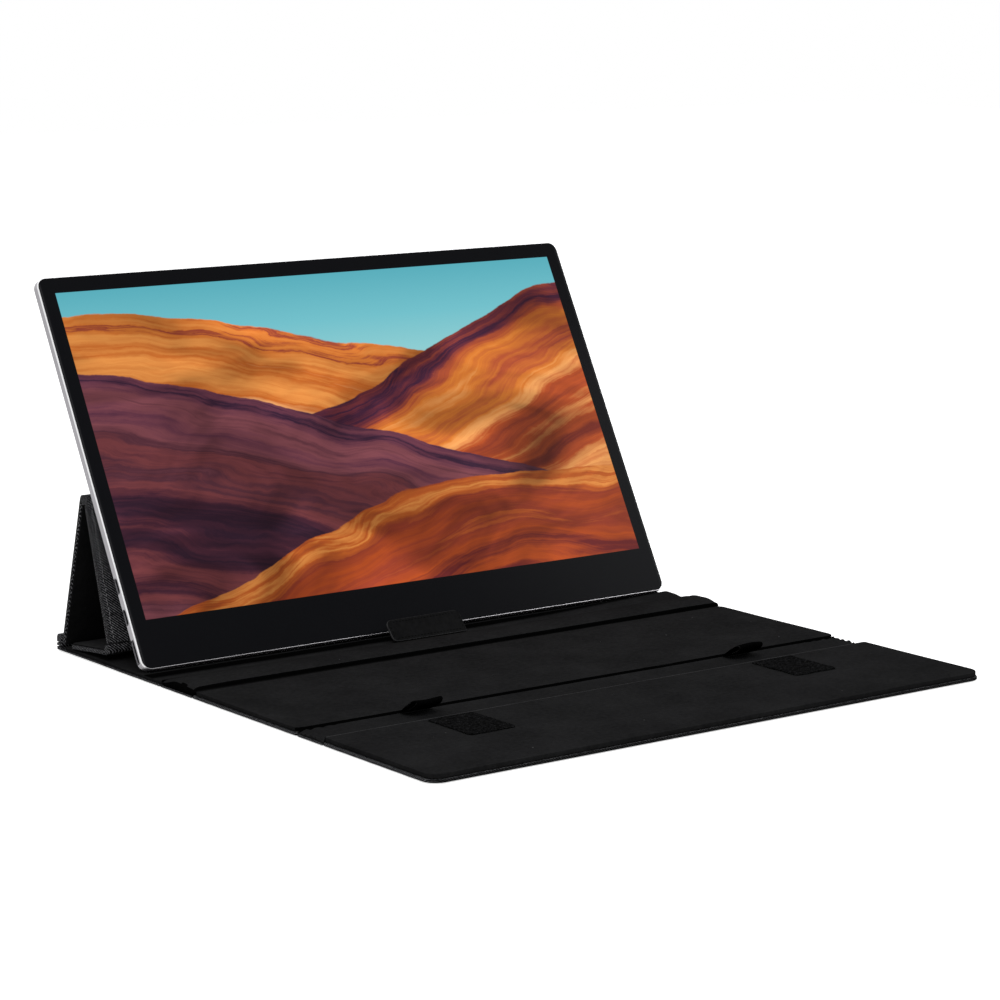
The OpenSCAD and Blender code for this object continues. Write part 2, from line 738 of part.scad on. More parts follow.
module leg_skin_outer(span) {
  tray(span[0], span[1], -leg_t, -leg_skin, leg_skin, span[0] + board_inset,
    span[1] - board_inset);
}

module leg_core(span) {
  layer(span[0] + board_inset, span[1] - board_inset, -leg_t + leg_skin, -leg_skin, board_inset);
}

module leg_skin_lining(span) {
  layer(span[0], span[1], -leg_skin, 0, lining_step);
}

magnet_t = leg_t - 2 * leg_skin - 0.3;

module back_leg_outer() { color(weave) back_leg_place() leg_skin_outer(back_leg_span); }

module back_leg_board() {
  color(card) back_leg_place() difference() {
    leg_core(back_leg_span);
    for (side = [-1, 1]) magnet_block(side, 0.1);
  }
}

module back_leg_lining() { color(leather) back_leg_place() leg_skin_lining(back_leg_span); }

module magnet_block(side, gap) {
  translate([side * magnet_x, back_leg_len - leg_magnet_drop, -leg_t + leg_skin + 0.15 - gap])
    linear_extrude(magnet_t + 2 * gap)
      square([magnet_w * 0.7 + 2 * gap, magnet_h + 2 * gap], center = true);
}

module leg_magnets() {
  color(steel) back_leg_place() for (side = [-1, 1]) magnet_block(side, 0);
}

// Rolled fabric edge round which the next panel folds, joined flush to a leg's end
module roll(len) {
  translate([-cover_w / 2 + 1, len, 0]) rotate([90, 0, 90]) linear_extrude(cover_w - 2) {
    circle(fold_r);
    translate([-fold_r, -leg_t]) square([fold_r, leg_t]);
  }
}

module apex_fold() { color(weave) back_leg_place() roll(back_leg_len); }

module front_leg_outer() { color(weave) front_leg_place() leg_skin_outer(front_leg_span); }
module front_leg_board() { color(card) front_leg_place() leg_core(front_leg_span); }
module front_leg_lining() { color(leather) front_leg_place() leg_skin_lining(front_leg_span); }

module foot_fold() { color(weave) front_leg_place() roll(front_leg_len); }

module foot_flap_outer() { color(weave) flap_place() leg_skin_outer(flap_span); }
module foot_flap_board() { color(card) flap_place() leg_core(flap_span); }
module foot_flap_lining() { color(leather) flap_place() leg_skin_lining(flap_span); }

cover_glass();
lcd_panel();
mid_plate();
rear_housing();
main_board();
board_screws();
upper_usb_socket();
lower_usb_socket();
video_socket();
headphone_socket();
control_board();
left_speaker();
right_speaker();
display_ribbon();
control_ribbon();
housing_magnets();
rocker_pin();
power_button();
menu_rocker();
base_outer();
base_board();
base_lining();
rear_fold();
stitched_tab();
spine_outer();
spine_pad();
spine_lining();
inner_outer();
inner_board();
inner_lining();
middle_outer();
middle_lining();
left_pull_loop();
right_pull_loop();
front_outer();
front_board();
front_lining();
left_hook_patch();
right_hook_patch();
back_leg_outer();
back_leg_board();
back_leg_lining();
leg_magnets();
apex_fold();
front_leg_outer();
front_leg_board();
front_leg_lining();
foot_fold();
foot_flap_outer();
foot_flap_board();
foot_flap_lining();
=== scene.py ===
"""Looks of a portable monitor that leans on the folded stand of its soft folio cover."""

import json
import math

import bmesh
import bpy
from bpy.props import FloatProperty, FloatVectorProperty, PointerProperty
from mathutils import Matrix, Vector


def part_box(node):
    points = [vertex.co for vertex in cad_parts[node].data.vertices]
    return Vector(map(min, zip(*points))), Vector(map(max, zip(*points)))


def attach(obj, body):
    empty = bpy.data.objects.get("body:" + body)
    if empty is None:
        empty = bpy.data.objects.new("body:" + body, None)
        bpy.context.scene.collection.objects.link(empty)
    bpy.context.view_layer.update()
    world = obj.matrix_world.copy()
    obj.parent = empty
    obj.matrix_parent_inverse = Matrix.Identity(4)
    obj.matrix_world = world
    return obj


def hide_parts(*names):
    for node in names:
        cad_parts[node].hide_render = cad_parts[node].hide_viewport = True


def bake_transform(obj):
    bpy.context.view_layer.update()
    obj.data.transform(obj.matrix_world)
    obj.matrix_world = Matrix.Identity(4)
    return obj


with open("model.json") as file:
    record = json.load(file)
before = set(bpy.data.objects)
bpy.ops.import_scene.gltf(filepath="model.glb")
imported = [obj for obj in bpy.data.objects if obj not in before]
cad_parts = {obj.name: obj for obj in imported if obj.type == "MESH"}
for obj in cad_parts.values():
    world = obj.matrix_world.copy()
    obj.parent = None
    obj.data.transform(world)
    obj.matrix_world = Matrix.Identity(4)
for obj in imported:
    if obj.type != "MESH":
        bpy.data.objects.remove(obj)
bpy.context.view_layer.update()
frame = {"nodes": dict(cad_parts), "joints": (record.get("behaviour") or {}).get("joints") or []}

bl_info = {
    "name": "Portable Monitor Folio",
    "version": (1, 0, 0),
    "blender": (4, 5, 0),
    "location": "View3D > Sidebar > Monitor Folio",
    "description": "Dresses the monitor, its cover and its folded stand",
    "category": "Object",
}

MM = 0.001


def joint_point(name):
    """Rest place of a joint's axis, in metres."""
    return Vector([j for j in frame["joints"] if j["name"] == name][0]["pos_m"])


REAR = joint_point("back_leg_fold")
APEX = joint_point("front_leg_fold")
FOOT = joint_point("foot_flap_fold")
CREASE_A = joint_point("spine_fold")
CREASE_B = joint_point("inner_fold")
CREASE_C = joint_point("middle_fold")
CREASE_D = joint_point("front_fold")


def length(label, size_mm, text):
    return FloatProperty(name=label, description=text, default=size_mm * MM, unit="LENGTH")


def tilt(label, degrees, text):
    return FloatProperty(name=label, description=text, default=math.radians(degrees),
                         subtype="ANGLE")


def tint(label, colour, text):
    return FloatVectorProperty(name=label, description=text, default=colour, subtype="COLOR")


class ScreenSizes(bpy.types.PropertyGroup):
    """Sizes and colours of the screen."""

    lean: tilt("Lean", 28.6, "Lean of the screen back from upright")
    lip_height: length("Lip height", 5.209, "Height of the screen's lower front edge")
    picture_width: length("Picture width", 344.2, "Width of the lit picture")
    picture_height: length("Picture height", 193.6, "Height of the lit picture")
    picture_bottom: length("Picture bottom", 27.8,
                           "Distance of the picture from the lower edge")
    picture_light: FloatProperty(
        name="Picture light", description="Strength of the lit picture", default=1.0, min=0.0)
    border: tint("Border", (0.0042, 0.0044, 0.0055), "Colour of the glass round the picture")
    silver: tint("Silver", (0.40, 0.39, 0.41), "Colour of the satin metal housing")
    # painted highlight: the polished bevel gets a brighter colour in place of its reflection
    painted_bevel_highlight: tint("Bright edge", (0.88, 0.88, 0.89),
                      "Colour of the polished bevel on the metal's front edge")
    bevel_depth: length("Bevel depth", 1.0, "Depth of the polished bevel")


class CoverSizes(bpy.types.PropertyGroup):
    """Sizes and colours of the cover."""

    edge_round: length("Edge round", 0.55, "Rounding of the panels' edges")
    corner: length("Corner", 8.5, "Corner radius of the front panel")
    skin_corner: length("Lining corner", 4.5, "Corner radius of the inner panel")
    rim: length("Rim", 1.5, "Height of the woven rim that shows below the lining")
    spine_rear: length("Spine rear", 3.8, "Height of the arched spine at its rear crease")
    spine_lip: length("Spine lip", 6.2, "Height of the arched spine at its front lip")
    spine_crown: length("Spine crown", 1.7, "Extra height of the spine's arch")
    waviness: length("Waviness", 0.12, "Depth of the soft unevenness of the skins")
    stitch_pitch: length("Stitch pitch", 3.2, "Distance between two stitches")
    leather: tint("Leather", (0.0135, 0.0135, 0.0140), "Colour of the grained lining")
    weave_dark: tint("Dark yarn", (0.0025, 0.0025, 0.0030), "Darker yarn of the woven outside")
    weave_light: tint("Light yarn", (0.165, 0.165, 0.175), "Lighter yarn of the woven outside")
    # painted light: cloth faces turned towards the lamps get this lighter colour
    painted_edge_light: tint("Edge yarn", (0.17, 0.17, 0.178),
                    "Lighter yarn where the woven cloth turns round an edge")
    flap_slope: tilt("Flap slope", -5.246, "Slope of the foot flap")
    leg_thickness: length("Leg thickness", 3.1, "Thickness of the stand's panels")


class CameraSizes(bpy.types.PropertyGroup):
    """Place of the camera."""

    place: FloatVectorProperty(
        name="Place", description="Place of the camera",
        default=(-1.01627, -1.44862, 0.39025), subtype="TRANSLATION")
    yaw: tilt("Yaw", 36.543, "Turn of the view to the right of +Y")
    pitch: tilt("Pitch", 9.964, "How far the view looks down")
    roll: tilt("Roll", -0.069, "Tilt of the view")
    lens: FloatProperty(name="Lens", description="Focal length in millimetres", default=113.82)


# ---- small helpers for meshes


def clamp(value):
    """Holds a value between 0 and 1."""
    return min(1.0, max(0.0, value))


def round_over(t):
    """Drop of a quarter circle: 1 at its outer end, t = 0, and 0 at its top, t = 1."""
    return 1 - math.sqrt(max(0, 1 - (1 - t) ** 2))


def clear_selection():
    if bpy.context.object and bpy.context.object.mode != "OBJECT":
        bpy.ops.object.mode_set(mode="OBJECT")
    bpy.ops.object.select_all(action="DESELECT")


def take(obj):
    """Makes obj the only selected and active one."""
    clear_selection()
    obj.select_set(True)
    bpy.context.view_layer.objects.active = obj
    return obj


def settle(obj, name):
    """Names a finished piece and puts its place into its mesh."""
    take(obj)
    bpy.ops.object.transform_apply(location=True, rotation=True, scale=True)
    obj.name = name
    obj.data.name = name
    return obj


def add_box(name, low, high):
    """A box between two corners, in metres."""
    clear_selection()
    centre = [(a + b) / 2 for a, b in zip(low, high)]
    size = [b - a for a, b in zip(low, high)]
    bpy.ops.mesh.primitive_cube_add(size=1, location=centre, scale=size)
    return settle(bpy.context.object, name)


def select_edges(obj, test):
    """Enters edit mode with only the edges selected whose ends pass the test."""
    take(obj)
    bpy.ops.object.mode_set(mode="EDIT")
    bpy.ops.mesh.select_mode(type="EDGE")
    bpy.ops.mesh.select_all(action="DESELECT")
    shape = bmesh.from_edit_mesh(obj.data)
    for edge in shape.edges:
        edge.select_set(test(edge.verts[0].co, edge.verts[1].co))
    bmesh.update_edit_mesh(obj.data)


def leave_edit():
    bpy.ops.object.mode_set(mode="OBJECT")


def select_faces(obj, test):
    """Enters edit mode with only the faces selected whose middle and normal pass the test."""
    take(obj)
    bpy.ops.object.mode_set(mode="EDIT")
    bpy.ops.mesh.select_mode(type="FACE")
    bpy.ops.mesh.select_all(action="DESELECT")
    shape = bmesh.from_edit_mesh(obj.data)
    for face in shape.faces:
        face.select_set(test(face.calc_center_median(), face.normal))
    bmesh.update_edit_mesh(obj.data)


def bevel_edges(obj, test, width, segments):
    select_edges(obj, test)
    bpy.ops.mesh.bevel(offset=width, segments=segments, affect="EDGES", clamp_overlap=False)
    leave_edit()


def cut(obj, axis, places):
    """Cuts straight lines across the whole mesh at the given places along an axis."""
    take(obj)
    bpy.ops.object.mode_set(mode="EDIT")
    for p in places:
        co, no = [0, 0, 0], [0, 0, 0]
        co[axis], no[axis] = p, 1
        bpy.ops.mesh.select_all(action="SELECT")
        bpy.ops.mesh.bisect(plane_co=co, plane_no=no)
    leave_edit()


def spread(a, b, n):
    return [a + (b - a) * (i + 1) / (n + 1) for i in range(n)]


def upright_at(y):
    """Test for the upright edges of a box at a place along Y."""
    return lambda a, b: abs(a.z - b.z) > 1e-5 and abs(a.y - y) < 1e-6 and abs(b.y - y) < 1e-6


def level(a, b):
    """Test for edges that run flat."""
    return abs(a.z - b.z) < 1e-7


def slab(name, x, y, z, corners=(0.001, 0.001), edge=0.0005, cuts=(0, 0), steps=6):
    """A flat panel with rounded corners in plan and rounded edges."""
    obj = add_box(name, (x[0], y[0], z[0]), (x[1], y[1], z[1]))
    for at, r in zip(y, corners):
        if r > 0:
            bevel_edges(obj, upright_at(at), r, steps)
    if edge > 0:
        bevel_edges(obj, level, edge, 3)
    if cuts[0]:
        cut(obj, 0, spread(x[0], x[1], cuts[0]))
    if cuts[1]:
        cut(obj, 1, spread(y[0], y[1], cuts[1]))
    return obj


def cap(name, x, y, z, corners, edge, wall, roof, cuts):
    """A soft skin drawn over a panel: rounded on top, with a skirt and hollow below."""
    obj = add_box(name, (x[0], y[0], z[0]), (x[1], y[1], z[1]))
    for at, r in zip(y, corners):
        bevel_edges(obj, upright_at(at), r, 8)
    bevel_edges(obj, lambda a, b: min(a.z, b.z) > z[1] - 1e-7, edge, 4)
    bevel_edges(obj, lambda a, b: max(a.z, b.z) < z[0] + 1e-7, 0.2 * MM, 2)
    select_faces(obj, lambda c, n: n.z < -0.99 and c.z < z[0] + 1e-7)
    bpy.ops.mesh.inset(thickness=wall)
    bpy.ops.mesh.extrude_region_move(
        TRANSFORM_OT_translate={"value": (0, 0, z[1] - z[0] - roof)})
    leave_edit()
    cut(obj, 0, spread(x[0], x[1], cuts[0]))
    cut(obj, 1, spread(y[0], y[1], cuts[1]))
    return obj


def reshape(obj, move):
    """Moves each point of the mesh by a rule, as when sculpting."""
    for v in obj.data.vertices:
        v.co = move(v.co.copy())
    obj.data.update()


def hump(seed, p, size):
    """A smooth uneven value from -1 to 1 at a place."""
    a = p.x / size + seed * 1.7
    b = p.y / size - seed * 0.9
    return (math.sin(a * 1.3 + math.sin(b * 2.1)) + math.sin(b * 1.7 + 2 * math.sin(a * 0.8))) / 2


def smooth(obj, angle=40):
    take(obj)
    bpy.ops.object.shade_smooth_by_angle(angle=math.radians(angle))


def soften(obj, levels=1):
    take(obj)
    mod = obj.modifiers.new("Soft", "SUBSURF")
    mod.levels = mod.render_levels = levels
    bpy.ops.object.modifier_apply(modifier=mod.name)


def paint(obj, finish, test):
    """Gives one more finish to the faces whose middle and normal pass the test."""
    obj.data.materials.append(bpy.data.materials[finish])
    for face in obj.data.polygons:
        if test(face.center, face.normal):
            face.material_index = len(obj.data.materials) - 1


def finish_piece(obj, material, body, replaced=(), edge_material=None, flat=None):
    """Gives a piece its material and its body.

    Faces that look away from the flat direction get the edge material.
    """
    obj.data.materials.clear()
    obj.data.materials.append(bpy.data.materials[material])
    if edge_material:
        flat = flat or Vector((0, 0, 1))
        paint(obj, edge_material, lambda centre, normal: abs(normal.dot(flat)) < 0.75)
    smooth(obj)
    if body:
        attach(obj, body)
    if replaced:
        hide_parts(*replaced)
    return obj


def put_in(obj, matrix):
    """Moves a piece that was built flat into its leaning place."""
    obj.matrix_world = matrix
    return settle(obj, obj.name)


def fold_matrix(point, angle):
    return Matrix.Translation(point) @ Matrix.Rotation(angle, 4, "X")


def leg_matrices():
    """Places of the back leg, the front leg and the foot flap."""
    cover = bpy.context.scene.folio_cover
    back = math.atan2(APEX.z - REAR.z, APEX.y - REAR.y)
    front = math.atan2(FOOT.z - APEX.z, FOOT.y - APEX.y)
    return [fold_matrix(Vector((0, point.y, point.z)), angle) for point, angle in (
        (REAR, back), (APEX, front), (FOOT, cover.flap_slope))]


# ---- small helpers for materials


def feed(tree, made, inputs):
    """Sets a node's inputs, each to a constant or to another node's output."""
    for key, value in inputs.items():
        if isinstance(value, bpy.types.NodeSocket):
            tree.links.new(value, made.inputs[key])
        else:
            made.inputs[key].default_value = value
    return made


def node(tree, kind, inputs=None, **props):
    made = tree.nodes.new(kind)
    for key, value in props.items():
        setattr(made, key, value)
    return feed(tree, made, inputs or {})


def maths(tree, operation, a, b=0.0, c=None, clamp=False):
    inputs = {0: a, 1: b}
    if c is not None:
        inputs[2] = c
    return node(tree, "ShaderNodeMath", inputs, operation=operation, use_clamp=clamp).outputs[0]


def mix_colour(tree, factor, a, b, blend="MIX"):
    made = node(tree, "ShaderNodeMix", data_type="RGBA", blend_type=blend)
    return feed(tree, made, {0: factor, 6: a, 7: b}).outputs[2]


def times(tree, a, b, clamp=False):
    return maths(tree, "MULTIPLY", a, b, clamp=clamp)


def plus(tree, a, b):
    return maths(tree, "ADD", a, b)


def times_plus(tree, a, b, c, clamp=False):
    return maths(tree, "MULTIPLY_ADD", a, b, c, clamp)


def noise(tree, place, scale, detail=2.0, roughness=0.5, distortion=0.0):
    return node(tree, "ShaderNodeTexNoise", {
        "Vector": place, "Scale": scale, "Detail": detail, "Roughness": roughness,
        "Distortion": distortion}).outputs[0]


def split(tree, vector):
    """The X, Y and Z of a vector."""
    return node(tree, "ShaderNodeSeparateXYZ", {0: vector}).outputs


def ramp(tree, factor, stops):
    made = node(tree, "ShaderNodeValToRGB", {0: factor})
    band = made.color_ramp
    while len(band.elements) < len(stops):
        band.elements.new(0.5)
    for element, (place, colour) in zip(band.elements, stops):
        element.position = place
        element.color = (*colour, 1)
    return made.outputs[0]


def new_group(name, sockets):
    """A shader node group with named sockets: (name, in or out, kind, default)."""
    tree = bpy.data.node_groups.new(name, "ShaderNodeTree")
    for label, way, kind, default in sockets:
        made = tree.interface.new_socket(
            label, in_out=way, socket_type="NodeSocket" + kind)
        if default is not None:
            made.default_value = default
    return tree, tree.nodes.new("NodeGroupInput"), tree.nodes.new("NodeGroupOutput")


def use_group(tree, name, **inputs):
    made = node(tree, "ShaderNodeGroup", node_tree=bpy.data.node_groups[name])
    return feed(tree, made, {key.replace("_", " "): value for key, value in inputs.items()})


def new_material(name):
    material = bpy.data.materials.new(name)
    material.use_nodes = True
    tree = material.node_tree
    shader = tree.nodes["Principled BSDF"]
    place = tree.nodes.new("ShaderNodeTexCoord").outputs["Object"]
    return material, tree, shader, place


def bump(tree, shader, height, distance, strength=1.0):
    made = node(tree, "ShaderNodeBump",
                {"Height": height, "Distance": distance, "Strength": strength})
    tree.links.new(made.outputs[0], shader.inputs["Normal"])


def rgba(colour, alpha=1.0):
    return (*colour, alpha)


def build_groups():
    """Shared effects: leather grain, twill weave, faint dust and a rolling colour layer."""
    tree, into, out = new_group("Leather grain", [
        ("Place", "INPUT", "Vector", None), ("Grain size", "INPUT", "Float", 900.0),
        ("Height", "OUTPUT", "Float", None), ("Mottle", "OUTPUT", "Float", None),
        ("Specks", "OUTPUT", "Float", None)])
    cells = node(tree, "ShaderNodeTexVoronoi",
                 {"Vector": into.outputs[0], "Scale": into.outputs[1]}, feature="DISTANCE_TO_EDGE")
    fine = noise(tree, into.outputs[0], 1800.0, 3.0)
    pores = maths(tree, "MINIMUM", times(tree, cells.outputs["Distance"], 4.0), 1.0)
    height = plus(tree, times(tree, pores, 0.7),
                   times(tree, fine, 0.5))
    tree.links.new(height, out.inputs[0])
    broad = noise(tree, into.outputs[0], 28.0, 6.0, 0.65)
    speck = noise(tree, into.outputs[0], 420.0, 2.0)
    mottle = plus(tree, times(tree, broad, 0.6),
                   times(tree, speck, 0.4))
    tree.links.new(mottle, out.inputs[1])
    # a few stray fibres and grains of dust, less than half a millimetre wide
    grains = node(tree, "ShaderNodeTexVoronoi", {"Vector": into.outputs[0], "Scale": 75.0})
    pick = node(tree, "ShaderNodeSeparateColor", {0: grains.outputs["Color"]})
    near = maths(tree, "LESS_THAN", grains.outputs["Distance"],
                 times(tree, pick.outputs[1], 0.040))
    some = maths(tree, "GREATER_THAN", pick.outputs[0], 0.25)
    tree.links.new(times(tree, near, some), out.inputs[2])

    tree, into, out = new_group("Twill weave", [
        ("Place", "INPUT", "Vector", None), ("Yarn pitch", "INPUT", "Float", 0.0012),
        ("Light yarn", "OUTPUT", "Float", None), ("Height", "OUTPUT", "Float", None)])
    parts = split(tree, into.outputs[0])
    along = plus(tree, parts[1], parts[2])
    u = maths(tree, "DIVIDE", parts[0], into.outputs[1])
    v = maths(tree, "DIVIDE", along, into.outputs[1])
    turn = 2 * math.pi
    # the ribs run at a slant and are broken up by the crossing yarns
    rib = maths(tree, "SINE", times(tree, plus(tree, u, v), turn))
    warp = maths(tree, "SINE", times(tree, u, turn * 2))
    weft = maths(tree, "SINE", times(tree, v, turn * 2))
    uneven = noise(tree, into.outputs[0], 900.0, 3.0, 0.7)
    light = plus(tree, times(tree, rib, 0.75),
                  times(tree, times(tree, warp, weft), 0.25))
    light = plus(tree, light, times_plus(tree, uneven, 3.4, -1.72))
    tree.links.new(times(tree, light, 1.0, clamp=True), out.inputs[0])
    height = plus(tree, times(tree, rib, 0.5),
                   times(tree, plus(tree, warp, weft), 0.25))
    tree.links.new(height, out.inputs[1])

    tree, into, out = new_group("Faint dust", [
        ("Place", "INPUT", "Vector", None), ("Colour", "INPUT", "Color", (0.5, 0.5, 0.5, 1)),
        ("Dust", "INPUT", "Color", (0.4, 0.4, 0.4, 1)), ("Amount", "INPUT", "Float", 0.03),
        ("Colour", "OUTPUT", "Color", None), ("Mask", "OUTPUT", "Float", None)])
    cloud = noise(tree, into.outputs[0], 60.0, 8.0, 0.7)
    mask = times(tree, maths(tree, "POWER", cloud, 2.0), into.outputs[3])
    tree.links.new(mix_colour(tree, mask, into.outputs[1], into.outputs[2]), out.inputs[0])
    tree.links.new(mask, out.inputs[1])

    tree, into, out = new_group("Rolling layer", [
        ("Across", "INPUT", "Float", 0.0), ("Up", "INPUT", "Float", 0.0),
        ("Base", "INPUT", "Float", 0.5), ("Slope", "INPUT", "Float", 0.0),
        ("Swell", "INPUT", "Float", 0.1), ("Waves", "INPUT", "Float", 4.0),
        ("Shift", "INPUT", "Float", 0.0), ("Fine", "INPUT", "Float", 0.0),
        ("Mask", "OUTPUT", "Float", None), ("Depth", "OUTPUT", "Float", None)])
    line = maths(tree, "SINE", times_plus(tree, into.outputs[0], into.outputs[5],
                                     into.outputs[6]))
    top = times_plus(tree, line, into.outputs[4], into.outputs[2])
    top = plus(tree, top, times(tree, into.outputs[0], into.outputs[3]))
    top = plus(tree, top, into.outputs[7])
    depth = maths(tree, "SUBTRACT", top, into.outputs[1])
    tree.links.new(times(tree, depth, 260.0, clamp=True), out.inputs[0])
    tree.links.new(times(tree, depth, 2.1), out.inputs[1])


def picture_colour(tree, across, up):
    """Abstract rolling silk bands in teal, orange and plum; across and up run from 0 to 1."""
    flat = node(tree, "ShaderNodeCombineXYZ", {0: across, 1: up})
    swirl = noise(tree, flat.outputs[0], 2.2, 2.0, distortion=0.6)
    fine = noise(tree, flat.outputs[0], 9.0, 5.0, 0.6)
    drift = times(tree, maths(tree, "SUBTRACT", swirl, 0.5), 0.16)
    ragged = times(tree, maths(tree, "SUBTRACT", fine, 0.5), 0.03)
    edge = plus(tree, drift, ragged)
    glow = noise(tree, flat.outputs[0], 3.6, 3.0, distortion=0.9)
    colour = ramp(tree, up, [(0.55, (0.42, 0.74, 0.72)), (0.85, (0.17, 0.53, 0.60)),
                             (1.0, (0.10, 0.42, 0.50))])
    layers = [
        # base, slope, swell, waves, shift, stripes, stops
        (0.90, -0.20, 0.050, 5.0, 0.6, 34.0,
         [(0.0, (0.30, 0.05, 0.03)), (0.06, (0.62, 0.17, 0.03)), (0.25, (0.80, 0.30, 0.07)),
          (0.45, (0.55, 0.13, 0.02)), (0.7, (0.86, 0.42, 0.16)), (1.0, (0.40, 0.08, 0.02))]),
        (0.50, 0.34, 0.075, 4.2, 3.4, 30.0,
         [(0.0, (0.05, 0.015, 0.04)), (0.10, (0.16, 0.03, 0.04)), (0.26, (0.42, 0.08, 0.03)),
          (0.45, (0.66, 0.19, 0.03)), (0.62, (0.84, 0.36, 0.11)), (0.8, (0.46, 0.08, 0.02)),
          (1.0, (0.20, 0.03, 0.02))]),
        (0.66, -0.32, 0.090, 3.4, 1.2, 38.0,
         [(0.0, (0.035, 0.014, 0.035)), (0.10, (0.12, 0.035, 0.06)), (0.30, (0.22, 0.065, 0.08)),
          (0.48, (0.10, 0.03, 0.045)), (0.62, (0.20, 0.05, 0.055)), (0.82, (0.07, 0.02, 0.035)),
          (1.0, (0.03, 0.012, 0.025))]),
        (0.04, 0.30, 0.070, 4.6, 5.3, 34.0,
         [(0.0, (0.72, 0.26, 0.06)), (0.10, (0.50, 0.11, 0.02)), (0.25, (0.26, 0.04, 0.02)),
          (0.5, (0.42, 0.07, 0.015)), (0.75, (0.14, 0.02, 0.02)), (1.0, (0.08, 0.015, 0.02))]),
    ]
    for base, slope, swell, waves, shift, stripes, stops in layers:
        layer = use_group(tree, "Rolling layer", Across=across, Up=up, Base=base, Slope=slope,
                          Swell=swell, Waves=waves, Shift=shift, Fine=edge)
        depth = layer.outputs["Depth"]
        ragged_depth = plus(tree, depth, times(tree, fine, 0.10))
        bands = maths(tree, "SINE", times(tree, ragged_depth, stripes * 3.0))
        swirled_depth = plus(tree, depth, times(tree, swirl, 0.5))
        soft = maths(tree, "SINE", times(tree, swirled_depth, stripes * 0.5))
        at = plus(tree, depth, times(tree, soft, 0.16))
        at = plus(tree, at, times(tree, bands, 0.035))
        # long thin strands that follow the slope of the layer
        bent = plus(tree, depth, times(tree, swirl, 0.5))
        combed = node(tree, "ShaderNodeCombineXYZ", {
            0: times(tree, across, 3.0), 1: times(tree, bent, 46.0), 2: shift})
        strand = noise(tree, combed.outputs[0], 1.3, 6.0, 0.6)
        strata = times(tree, maths(tree, "SUBTRACT", strand, 0.5), 0.30)
        at = maths(tree, "PINGPONG", plus(tree, at, strata), 1.0)
        tone = ramp(tree, at, stops)
        # broad pools of light and shade
        shade = times_plus(tree, glow, 2.6, -0.45)
        tone = mix_colour(tree, 1.0, tone, node(tree, "ShaderNodeCombineColor", {
            0: shade, 1: shade, 2: shade}).outputs[0], "MULTIPLY")
        colour = mix_colour(tree, layer.outputs["Mask"], colour, tone)
    return colour


